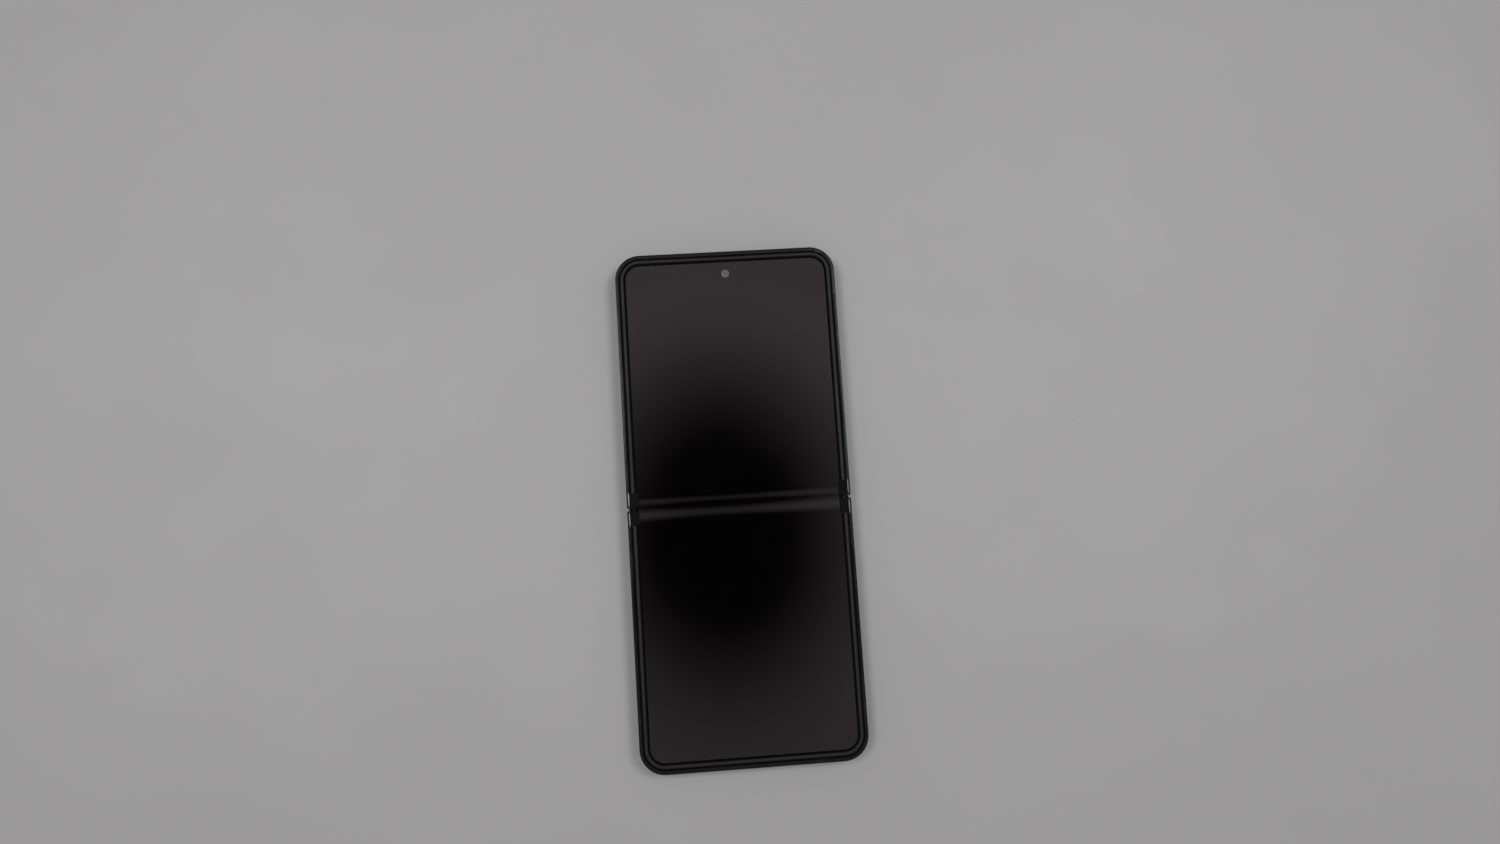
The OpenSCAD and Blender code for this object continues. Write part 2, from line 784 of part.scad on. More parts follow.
// The earpiece slot in the rim is in three parts, with a rib between each two
module upper_rim() color(rim_grey) difference() {
    rim();
    translate([0, 0, body_t - 1]) linear_extrude(3) ear_slots(0);
}

module ear_slots(inward) {
    side_l = ear_l / 2 - ear_rib_x - ear_rib_w / 2;
    side_x = (ear_l - side_l) / 2;
    translate([ear_x, ear_y]) {
        stadium(2 * ear_rib_x - ear_rib_w - 2 * inward, ear_w - 2 * inward);
        for (s = [-1, 1]) translate([s * side_x, 0]) stadium(side_l - 2 * inward, ear_w - 2 * inward);
    }
}

// Way for the sound, from the earpiece up to the slots
module ear_path(w) block([ear_x - ear_l / 2, ear_y - ear_w / 2, mid_z - 1],
                         [ear_x + ear_l / 2, ear_y - ear_w / 2 + w, body_t]);

module upper_rim_ends() color(rim_grey) rim_ends();

module upper_display() color(black_glass) difference() {
    display_half();
    disc(0, camera_y, display_z0 - 1, camera_hole_d / 2, 2);
    ear_path(2);
}

module upper_support_plate() color(steel) difference() {
    support_plate();
    disc(0, camera_y, plate_z - 1, front_barrel_r + 0.2, 2);
    ear_path(2);
}

module upper_battery() color(battery_grey) battery(23, 28);

module main_board() color(board_green) difference() {
    size = [63.8, 37.2, board_t];
    tile([-32.8, 43, board_z], size, 4);
    // bay for the rear cameras, open to the end of the board
    block([lens_x - 5.4, flash_y - 2.4, board_z - 1], [lens_x + 6.4, half_l, board_top + 1]);
    for (p = upper_bosses) disc(p[0], p[1], board_z - 1, screw_r, board_t + 2);
}

module board_shields() color(steel) {
    tile([-14.5, 45, board_top], [20, 24, 1.9], 0.8);
    tile([7, 45, board_top], [11, 26, 1.5], 0.8);
}

// Sensor housing on the board, its barrel and the window in the display hole
module front_camera() color(module_black) {
    size = [6.6, 6.6, 2.2];
    barrel_z = [5, 6.2];
    tile([-size[0] / 2, camera_y - size[1] / 2, board_top], size, 0.6);
    disc(0, camera_y, barrel_z[0], front_barrel_r, barrel_z[1] - barrel_z[0]);
    disc(0, camera_y, barrel_z[1] - 0.1, camera_hole_d / 2 - 0.1, display_z - barrel_z[1] + 0.05);
}

module earpiece() color(module_black) tile([4.6, 74.6, board_top], [13, 6, 2.3], 1);

// Fine mesh held between the display and the rim, raised a little in the slots
module earpiece_mesh() color(steel) {
    rim_under = 0.35;
    translate([ear_x, ear_y, display_z]) linear_extrude(body_t - display_z)
        stadium(ear_l + rim_under, ear_w + rim_under);
    translate([0, 0, body_t - eps]) linear_extrude(0.08 + eps) ear_slots(fit_gap);
}

module rear_cameras() color(module_black) for (y = lens_ys) {
    size = [9.4, 9.4, 3.2];
    barrel_r = 3.6;
    barrel_z = [glass_t + 0.05, 2];
    tile([lens_x - size[0] / 2, y - size[1] / 2, barrel_z[1] - 0.1], size, 0.8);
    disc(lens_x, y, barrel_z[0], barrel_r, barrel_z[1] - barrel_z[0]);
}

module rear_lens_rings() color(black_metal) for (y = lens_ys) translate([lens_x, y, -lens_proud])
    rotate_extrude() {
        e = 0.2;
        translate([lens_r - lens_ring_t, e]) square([lens_ring_t, glass_t + lens_proud - e]);
        translate([lens_r - lens_ring_t + e, 0]) square([lens_ring_t - 2 * e, 2 * e]);
        for (x = [lens_r - lens_ring_t + e, lens_r - e]) translate([x, e]) circle(e);
    }

module rear_lens_glass() color(black_glass) for (y = lens_ys) {
    sunk = 0.15;
    t = 0.5;
    disc(lens_x, y, sunk - lens_proud, lens_r - lens_ring_t, t);
}

// Lens that fills its hole in the cover panel, and the smaller lamp behind it
module flash_led() color([0.9, 0.86, 0.7]) {
    sunk = 0.05;
    lamp_r = 1.4;
    lamp_t = 0.6;
    disc(lens_x, flash_y, sunk, flash_r, glass_t - sunk);
    disc(lens_x, flash_y, glass_t - eps, lamp_r, lamp_t);
}

module cover_display() color(black_glass) block([-31, 54.5, glass_t + 0.05], [14.2, 78.2, 1.6]);

// Metal can around the card tray
module sim_reader() color(steel) difference() {
    wall = 0.6;
    size = [16.5, tray_w + 0.4 + 2 * wall, 1.6];
    x0 = -inner_w + 0.7;
    opening = 1.2;
    translate([x0, tray_y - size[1] / 2, board_top]) cube(size);
    block([x0 - 2, tray_y - size[1] / 2 + wall, key_z - opening / 2],
          [x0 + size[0] - wall, tray_y + size[1] / 2 - wall, key_z + opening / 2]);
}

// Flex with three dome switches behind the keys, and the pad that the rocker tips on
module key_switches() color(flex_brown) {
    t = 0.5;
    flex_h = 2;
    dome_r = 0.9;
    pad = [1.6, 1.8];
    block([switch_x - t, power_y - 5, key_z - flex_h / 2], [switch_x, volume_y + 8, key_z + flex_h / 2]);
    for (y = [power_y, volume_y - volume_press_y, volume_y + volume_press_y])
        translate([switch_x - eps, y, key_z]) rotate([0, 90, 0]) cylinder(r = dome_r, h = dome_h);
    block([switch_x - eps, volume_y - pad[0] / 2, key_z - pad[1] / 2],
          [switch_x + dome_h - eps, volume_y + pad[0] / 2, key_z + pad[1] / 2]);
    block([switch_x - t, power_y + 3, key_z], [switch_x, power_y + 6, mid_z]);
}

module upper_magnets() color(steel) magnets();

module upper_rail_arms() color(steel) rail_arms(rail_x_upper);

module upper_slot_brackets() color(steel) slot_brackets();

module upper_screws() color(steel) screws(upper_bosses);

module upper_flex() color(flex_brown) half_flex(44.5);

// Key with a flange that keeps it in the rail; x1 is its outer face
module key(y, l, x1) {
    side_bar(flange_x - eps, y, l, key_h, x1 - flange_x);
    side_bar(flange_x - flange_t, y, l + flange_over, key_h + 0.6, flange_t);
}

// Plunger on the back of a key, in front of its dome switch
module plunger(y, l) translate([flange_x - flange_t - l, y, key_z])
    rotate([0, 90, 0]) cylinder(r = 0.5, h = l + eps);

// The rocker tips on a half-round fulcrum along Z
module volume_key() color(black_metal) {
    fulcrum_r = 0.3;
    fulcrum_h = 1.8;
    key(volume_y, volume_l, half_w + key_proud);
    disc(rocker_x, volume_y, key_z - fulcrum_h / 2, fulcrum_r, fulcrum_h);
    for (s = [-1, 1]) plunger(volume_y + s * volume_press_y, 0.18);
}

module power_key() color(black_metal) {
    key(power_y, power_l, half_w - power_sunk);
    plunger(power_y, 0.08);
}

// Face plate with the eject hole, and a frame with a bed for the card
module sim_tray() color(black_metal) difference() {
    face_t = 1.4;
    face_x = -half_w + 0.05;
    frame_x = face_x + face_t - 0.15;
    bed = [frame_x + 3.2, frame_x + 15.6];
    cut = [frame_x + 4.7, frame_x + 14.2];
    bed_w = 9.2;
    cut_w = 6.8;
    eject_y = tray_y + 6.5;
    union() {
        side_bar(face_x, tray_y, tray_l, tray_h, face_t);
        block([frame_x, tray_y - tray_w / 2, key_z - tray_t / 2],
              [frame_x + tray_reach, tray_y + tray_w / 2, key_z + tray_t / 2]);
    }
    block([bed[0], tray_y - bed_w / 2, key_z - 0.2], [bed[1], tray_y + bed_w / 2, key_z + 1]);
    block([cut[0], tray_y - cut_w / 2, key_z - 1], [cut[1], tray_y + cut_w / 2, key_z + 1]);
    translate([face_x - 1, eject_y, key_z]) rotate([0, 90, 0]) cylinder(r = eject_r, h = face_t + 1.2);
}

// ---------- spine ----------

module spine_cover() color(black_metal) difference() {
    slab(-spine_l / 2, spine_l) spine_section(spine_r, spine_top);
    slab(-spine_l, 2 * spine_l) spine_section(spine_r - spine_wall, spine_top + 1);
    // slots that the arms pass through
    both_sides() {
        arm_slot(rail_x_upper - 0.1, channel_w + 0.2, 1, link_z - 0.15);
        arm_slot(rail_x_lower - 0.1, channel_w + 0.2, -1, link_z - 0.15);
        for (s = [-1, 1]) arm_slot(blade_x - 0.2, blade_w + 0.4, s, 4.2);
    }
}

// Cut in one long wall of the spine, open at the top
module arm_slot(x, w, side, z0) {
    y0 = 4;
    y1 = 8;
    block([x, side > 0 ? y0 : -y1, z0], [x + w, side > 0 ? y1 : -y0, body_t + 1]);
}

module spine_end_caps() color(black_metal) both_sides()
    slab(spine_l / 2 - cap_t, cap_t) spine_section(module_r, spine_top);

module hinge_brackets() color(steel) both_sides() hinge_bracket();

module hinge_pins() color(steel) both_sides() for (s = [-1, 1]) {
    slab(pin_x, blade_cheek_x + 0.7 - pin_x) translate([s * gear_ys[0], gear_z]) circle(pin_r);
    slab(pin_x, module_end - 0.1 - pin_x) translate([s * gear_ys[1], gear_z]) circle(pin_r);
}

// Stacks of friction washers on the outer pins
module friction_washers() color(brass) both_sides() {
    count = 7;
    pitch = 0.42;
    t = 0.38;
    washer_r = 0.95;
    for (s = [-1, 1], i = [0:count - 1]) slab(stack_x + 0.05 + i * pitch, t)
        translate([s * gear_ys[1], gear_z]) difference() {
            circle(washer_r);
            circle(pin_r + 0.02);
        }
}

// Display strip over the fold
module fold_display() color(black_glass)
    block([-view_w + 0.45, -strip_w / 2, display_z0], [view_w - 0.45, strip_w / 2, display_z]);

// Cable that crosses the fold along the floor of the spine
module fold_flex() color(flex_brown) slab(-flex_w / 2, flex_w) difference() {
    t = 0.15;
    top = 5;
    spine_section(module_r, top);
    spine_section(module_r - t, top + 1);
}

module lower_sync_arms() color(steel) lower_half() sync_arms(0);

module upper_sync_arms() color(steel) sync_arms(0.5);

module lower_idlers() color(brass) lower_half() idlers(0.5);

module upper_idlers() color(brass) idlers(0);

// ---------- assembly ----------

// The lens rings are the lowest parts: the phone is raised so that they stand on z = 0
module raised() translate([0, 0, lens_proud]) children();

raised() lower_frame();
raised() lower_antenna_breaks();
raised() lower_back_glass();
raised() lower_rim();
raised() lower_rim_ends();
raised() lower_display();
raised() lower_support_plate();
raised() lower_battery();
raised() charging_board();
raised() usb_c_port();
raised() loudspeaker();
raised() vibration_motor();
raised() charging_coil();
raised() bottom_microphone();
raised() lower_magnets();
raised() lower_rail_arms();
raised() lower_slot_brackets();
raised() lower_screws();
raised() lower_flex();
raised() upper_frame();
raised() upper_antenna_breaks();
raised() upper_back_glass();
raised() cover_panel();
raised() upper_rim();
raised() upper_rim_ends();
raised() upper_display();
raised() upper_support_plate();
raised() upper_battery();
raised() main_board();
raised() board_shields();
raised() front_camera();
raised() earpiece();
raised() earpiece_mesh();
raised() rear_cameras();
raised() rear_lens_rings();
raised() rear_lens_glass();
raised() flash_led();
raised() cover_display();
raised() sim_reader();
raised() key_switches();
raised() upper_magnets();
raised() upper_rail_arms();
raised() upper_slot_brackets();
raised() upper_screws();
raised() upper_flex();
raised() volume_key();
raised() power_key();
raised() sim_tray();
raised() spine_cover();
raised() spine_end_caps();
raised() hinge_brackets();
raised() hinge_pins();
raised() friction_washers();
raised() fold_display();
raised() fold_flex();
raised() lower_sync_arms();
raised() upper_sync_arms();
raised() lower_idlers();
raised() upper_idlers();
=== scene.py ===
import json
import math
import bpy
import bmesh
from mathutils import Euler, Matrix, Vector

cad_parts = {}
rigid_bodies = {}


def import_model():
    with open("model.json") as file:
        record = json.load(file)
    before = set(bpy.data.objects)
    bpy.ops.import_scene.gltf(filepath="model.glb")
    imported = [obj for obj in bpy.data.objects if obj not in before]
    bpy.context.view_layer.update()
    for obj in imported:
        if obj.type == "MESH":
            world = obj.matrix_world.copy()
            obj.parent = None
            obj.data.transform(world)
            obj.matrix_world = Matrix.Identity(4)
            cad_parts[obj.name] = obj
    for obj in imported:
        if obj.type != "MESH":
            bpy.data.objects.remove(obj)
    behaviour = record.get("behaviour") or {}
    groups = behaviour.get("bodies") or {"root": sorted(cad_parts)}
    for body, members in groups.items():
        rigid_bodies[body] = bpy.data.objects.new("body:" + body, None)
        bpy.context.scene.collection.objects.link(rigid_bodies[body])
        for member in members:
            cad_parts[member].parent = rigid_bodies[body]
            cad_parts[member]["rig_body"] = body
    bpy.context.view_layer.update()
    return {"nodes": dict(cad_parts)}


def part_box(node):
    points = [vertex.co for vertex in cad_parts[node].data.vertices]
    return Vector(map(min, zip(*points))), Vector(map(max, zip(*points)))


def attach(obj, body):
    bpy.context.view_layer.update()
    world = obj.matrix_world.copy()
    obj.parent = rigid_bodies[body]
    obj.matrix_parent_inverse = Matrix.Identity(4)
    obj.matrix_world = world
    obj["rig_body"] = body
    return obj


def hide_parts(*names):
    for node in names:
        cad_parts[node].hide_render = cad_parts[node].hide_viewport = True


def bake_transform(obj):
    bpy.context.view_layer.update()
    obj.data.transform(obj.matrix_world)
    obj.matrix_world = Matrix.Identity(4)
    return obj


# A foldable smartphone lying open on a pale desk, screen up.
# X runs to the key side, Y to the end with the front camera and Z up.
# Blender works in metres. The dictionaries hold millimetres and degrees.

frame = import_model()
nodes = frame["nodes"]
mm = 0.001
mergeDistance = 1e-7              # metres, between corners of pieces made here
cadMergeDistance = 2e-6           # metres, between corners of CAD nodes
flatAngle = 0.6                   # degrees, below which faces of a CAD node count as one


def boxOf(node):
    # lowest and highest corner of a CAD node, in millimetres
    return [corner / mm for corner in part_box(node)]


frameHigh = boxOf("upper_frame")[1]
screenLow, screenHigh = boxOf("upper_display")
print("frame loaded:", len(nodes), "nodes")

# making and placing pieces


def linked(name, data):
    made = bpy.data.objects.new(name, data)
    bpy.context.scene.collection.objects.link(made)
    return made


def dress(name, mesh, look, body, stands=(), slot=None, angle=32):
    # a mesh becomes a piece that rides on a body and may stand for CAD nodes; no look keeps its materials
    piece = linked(name, mesh)
    if look:
        mesh.materials.clear()
        mesh.materials.append(finishes[look])
    mesh.polygons.foreach_set("use_smooth", [True] * len(mesh.polygons))
    mesh.set_sharp_from_angle(angle=math.radians(angle))
    if body:
        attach(piece, body)
    if stands:
        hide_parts(*stands)
    return piece


def evaluated(piece):
    # a plain mesh of an object with its modifiers applied
    return bpy.data.meshes.new_from_object(piece.evaluated_get(bpy.context.evaluated_depsgraph_get()))


def meshFrom(bm, name):
    bmesh.ops.recalc_face_normals(bm, faces=bm.faces)
    mesh = bpy.data.meshes.new(name)
    bm.to_mesh(mesh)
    bm.free()
    return mesh


def meshPiece(name, bm, look, body, stands=(), slot=None, angle=32):
    return dress(name, meshFrom(bm, name), look, body, stands, slot, angle)


# the rounding of edges, with its width on each kind of piece
bevel = {"segments": 2, "angle": 40, "frame": 0.06, "keys": 0.1, "port": 0.04, "rimEnds": 0.1}


def addBevel(piece, width, edgeLook=None):
    rounding = piece.modifiers.new("fine edges", "BEVEL")
    rounding.width = width * mm
    rounding.segments = bevel["segments"]
    rounding.limit_method = "ANGLE"
    rounding.angle_limit = math.radians(bevel["angle"])
    rounding.harden_normals = True
    if edgeLook:
        piece.data.materials.append(finishes[edgeLook])
        rounding.material = len(piece.data.materials) - 1


def weldedCopy(node, slot, bevelWidth=0.0, edgeLook=None):
    # a merged copy of a CAD node, with its finish, smooth faces and fine edges, stands for the node
    bm = bmesh.new()
    bm.from_mesh(nodes[node].data)
    bmesh.ops.remove_doubles(bm, verts=bm.verts, dist=cadMergeDistance)
    bmesh.ops.dissolve_limit(bm, angle_limit=math.radians(flatAngle), verts=bm.verts, edges=bm.edges)
    mesh = bpy.data.meshes.new(node + "_form")
    bm.to_mesh(mesh)
    bm.free()
    mesh.materials.append(nodes[node].data.materials[0])
    piece = dress(node + "_form", mesh, None, nodes[node]["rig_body"], [node], slot)
    if bevelWidth:
        addBevel(piece, bevelWidth, edgeLook)
    return piece


def loftRings(bm, rings):
    # joins equal rings of points with faces and closes both ends
    made = [[bm.verts.new(point) for point in ring] for ring in rings]
    count = len(made[0])
    for near, far in zip(made, made[1:]):
        for i in range(count):
            j = (i + 1) % count
            bm.faces.new((near[i], near[j], far[j], far[i]))
    bm.faces.new(list(reversed(made[0])))
    bm.faces.new(made[-1])


def lathe(bm, centre, profile, segments=64):
    # revolves (radius, z) points about a vertical axis; the profile starts and ends on the axis
    cx, cy = centre
    rings = []
    for radius, z in profile:
        if radius == 0:
            rings.append([bm.verts.new((cx * mm, cy * mm, z * mm))] * segments)
            continue
        turns = [2 * math.pi * i / segments for i in range(segments)]
        rings.append([bm.verts.new(((cx + radius * math.cos(a)) * mm, (cy + radius * math.sin(a)) * mm,
                                    z * mm)) for a in turns])
    for near, far in zip(rings, rings[1:]):
        for i in range(segments):
            j = (i + 1) % segments
            corners = list(dict.fromkeys((near[i], near[j], far[j], far[i])))
            bm.faces.new(corners)


cornerSteps = 6                   # faces round each corner of a block


def roundedBlock(bm, low, high, radius, edge=0.12):
    # block with round corners seen from above, and a narrow chamfer along its top and bottom
    def ring(inset, z):
        r = radius - inset
        points = []
        for quarter in range(4):
            right, back = quarter in (0, 3), quarter in (0, 1)
            cx = high[0] - radius if right else low[0] + radius
            cy = high[1] - radius if back else low[1] + radius
            for i in range(cornerSteps + 1):
                a = math.pi / 2 * (quarter + i / cornerSteps)
                points.append(((cx + r * math.cos(a)) * mm, (cy + r * math.sin(a)) * mm, z * mm))
        return points

    loftRings(bm, [ring(edge, low[2]), ring(0, low[2] + edge),
                   ring(0, high[2] - edge), ring(edge, high[2])])


opening = {"levels": (6.0, 8.5), "steps": 16}  # of the cutter, from below the film to above the rims


def drilled(mesh, centre, shapes):
    # cuts upright openings of (centre x, half length, radius) through a mesh and returns the new mesh
    bm = bmesh.new()
    steps = opening["steps"]
    for x, halfLength, radius in shapes:
        outline = []
        for side in (1, -1):
            for i in range(steps + 1):
                # half a turn clockwise, from the top on the right and from the bottom on the left
                a = math.pi * (1 - side / 2) - math.pi * i / steps
                outline.append((centre[0] + x + side * halfLength + radius * math.cos(a),
                                centre[1] + radius * math.sin(a)))
        loftRings(bm, [[(px * mm, py * mm, z * mm) for px, py in outline] for z in opening["levels"]])
    bmesh.ops.remove_doubles(bm, verts=bm.verts, dist=mergeDistance)
    drill = linked("drill", meshFrom(bm, "drill"))
    work = linked("work", mesh)
    cut = work.modifiers.new("openings", "BOOLEAN")
    cut.object = drill
    cut.solver = "EXACT"
    bpy.context.view_layer.update()
    made = evaluated(work)
    for helper in (drill, work):
        bpy.data.objects.remove(helper)
    return made


# Geometry Nodes


def startTree(name, sizes):
    # an empty tree with a named input for each size: a whole number, a float or a vector
    tree = bpy.data.node_groups.new(name, "GeometryNodeTree")
    kinds = {int: "NodeSocketInt", float: "NodeSocketFloat", tuple: "NodeSocketVector"}
    sockets = {}
    for label, value in sizes.items():
        made = tree.interface.new_socket(label, in_out="INPUT", socket_type=kinds[type(value)])
        sockets[label] = made.identifier
    tree.interface.new_socket("Geometry", in_out="OUTPUT", socket_type="NodeSocketGeometry")
    return tree, tree.nodes.new("NodeGroupInput").outputs, sockets


def addNode(tree, kind, inputs=None, **settings):
    made = tree.nodes.new(kind)
    for name, value in settings.items():
        setattr(made, name, value)
    for name, value in (inputs or {}).items():
        if isinstance(value, bpy.types.NodeSocket):
            tree.links.new(value, made.inputs[name])
        else:
            made.inputs[name].default_value = value
    return made


def nodeOut(tree, kind, inputs=None, **settings):
    # the first output of a new node
    return addNode(tree, kind, inputs, **settings).outputs[0]


def calc(tree, operation, *values):
    return nodeOut(tree, "ShaderNodeMath", dict(enumerate(values)), operation=operation)


def vector(tree, *values):
    return nodeOut(tree, "ShaderNodeCombineXYZ", dict(enumerate(values)))


def endTree(tree, geometry, materials):
    # millimetres to metres, real geometry, and materials, the later ones where their field is true
    last = nodeOut(tree, "GeometryNodeTransform", {"Geometry": geometry, "Scale": (mm, mm, mm)})
    last = nodeOut(tree, "GeometryNodeRealizeInstances", {"Geometry": last})
    for material, where in materials:
        paint = addNode(tree, "GeometryNodeSetMaterial", {"Geometry": last, "Material": material})
        if where:
            tree.links.new(where, paint.inputs["Selection"])
        last = paint.outputs[0]
    addNode(tree, "NodeGroupOutput", {"Geometry": last})


def runTree(tree, sockets, values):
    # evaluates the tree on an empty host and returns the result as a plain mesh
    host = linked(tree.name, bpy.data.meshes.new(tree.name))
    modifier = host.modifiers.new(tree.name, "NODES")
    modifier.node_group = tree
    for label, value in values.items():
        modifier[sockets[label]] = value
    bpy.context.view_layer.update()
    mesh = evaluated(host)
    host.modifiers.clear()
    bpy.data.objects.remove(host)
    return mesh


def tidied(mesh, name):
    # merged, with its faces turned outward and without empty material slots
    bm = bmesh.new()
    bm.from_mesh(mesh)
    bmesh.ops.remove_doubles(bm, verts=bm.verts, dist=mergeDistance)
    bmesh.ops.recalc_face_normals(bm, faces=bm.faces)
    used = sorted({face.material_index for face in bm.faces})
    for face in bm.faces:
        face.material_index = used.index(face.material_index)
    kept = [mesh.materials[index] for index in used]
    mesh.materials.clear()
    for material in kept:
        mesh.materials.append(material)
    bm.to_mesh(mesh)
    bm.free()
    mesh.name = name
    return mesh


# finishes, with the sizes of their tone patches, of the smudges in the roughness and of the bumpy grain

standard = {"patch": 6, "smudge": 9, "grain": 0.12, "bump": 0.3, "depth": 0.01}
noiseSpan = (0.3, 0.7)            # the noise values that each range of tone and roughness spreads over


def finish(name, given):
    # two close tones, uneven roughness and a fine grain, all from noise on object coordinates
    look = {**standard, **given}
    material = bpy.data.materials.new(name)
    material.use_nodes = True
    tree = material.node_tree
    shader = tree.nodes["Principled BSDF"]
    for socket, value in look.get("shader", {}).items():
        shader.inputs[socket].default_value = value
    where = addNode(tree, "ShaderNodeTexCoord").outputs["Object"]
    position = where
    if "stretch" in look:
        where = addNode(tree, "ShaderNodeMapping",
                        {"Vector": where, "Scale": look["stretch"]}).outputs["Vector"]

    def noise(part, detail, seed):
        settings = {"Vector": where, "Scale": 1 / (look[part] * mm), "Detail": detail, "W": seed}
        return addNode(tree, "ShaderNodeTexNoise", settings, noise_dimensions="4D").outputs["Fac"]

    ramp = addNode(tree, "ShaderNodeValToRGB", {"Fac": noise("patch", detail=4, seed=1)})
    for element, place, tone in zip(ramp.color_ramp.elements, noiseSpan, ("dark", "light")):
        element.position = place
        element.color = (*look[tone], 1)
    colour = ramp.outputs["Color"]
    if "window" in look:
        inside = windowField(tree, position, look["window"])
        tone = (*look["window"]["tone"], 1)
        mix = addNode(tree, "ShaderNodeMix", {"Factor": inside, "A": colour, "B": tone}, data_type="RGBA")
        colour = mix.outputs["Result"]
    tree.links.new(colour, shader.inputs["Base Color"])

    spread = addNode(tree, "ShaderNodeMapRange",
                     {"Value": noise("smudge", detail=5, seed=2),
                      "From Min": noiseSpan[0], "From Max": noiseSpan[1],
                      "To Min": look["rough"][0], "To Max": look["rough"][1]})
    tree.links.new(spread.outputs["Result"], shader.inputs["Roughness"])
    bump = addNode(tree, "ShaderNodeBump", {"Height": noise("grain", detail=3, seed=3),
                                            "Strength": look["bump"], "Distance": look["depth"] * mm})
    tree.links.new(bump.outputs["Normal"], shader.inputs["Normal"])
    return material


def windowField(tree, position, window):
    # 1 inside a rectangle with round corners seen along Z, 0 outside
    split = addNode(tree, "ShaderNodeSeparateXYZ", {"Vector": position})
    radius = window["radius"] * mm
    overs = []
    for axis, (low, high) in zip("XY", window["spans"]):
        centre, half = (low + high) / 2 * mm, (high - low) / 2 * mm
        away = calc(tree, "ABSOLUTE", calc(tree, "SUBTRACT", split.outputs[axis], centre))
        over = calc(tree, "MAXIMUM", calc(tree, "SUBTRACT", away, half - radius), 0.0)
        overs.append(calc(tree, "MULTIPLY", over, over))
    reach = calc(tree, "SQRT", calc(tree, "ADD", *overs))
    return calc(tree, "LESS_THAN", reach, radius)


# the cover display, which shows through the cover glass
coverWindow = {"spans": ((-31.0, 14.2), (54.5, 78.2)), "radius": 2.5, "tone": (0.007, 0.007, 0.0085)}

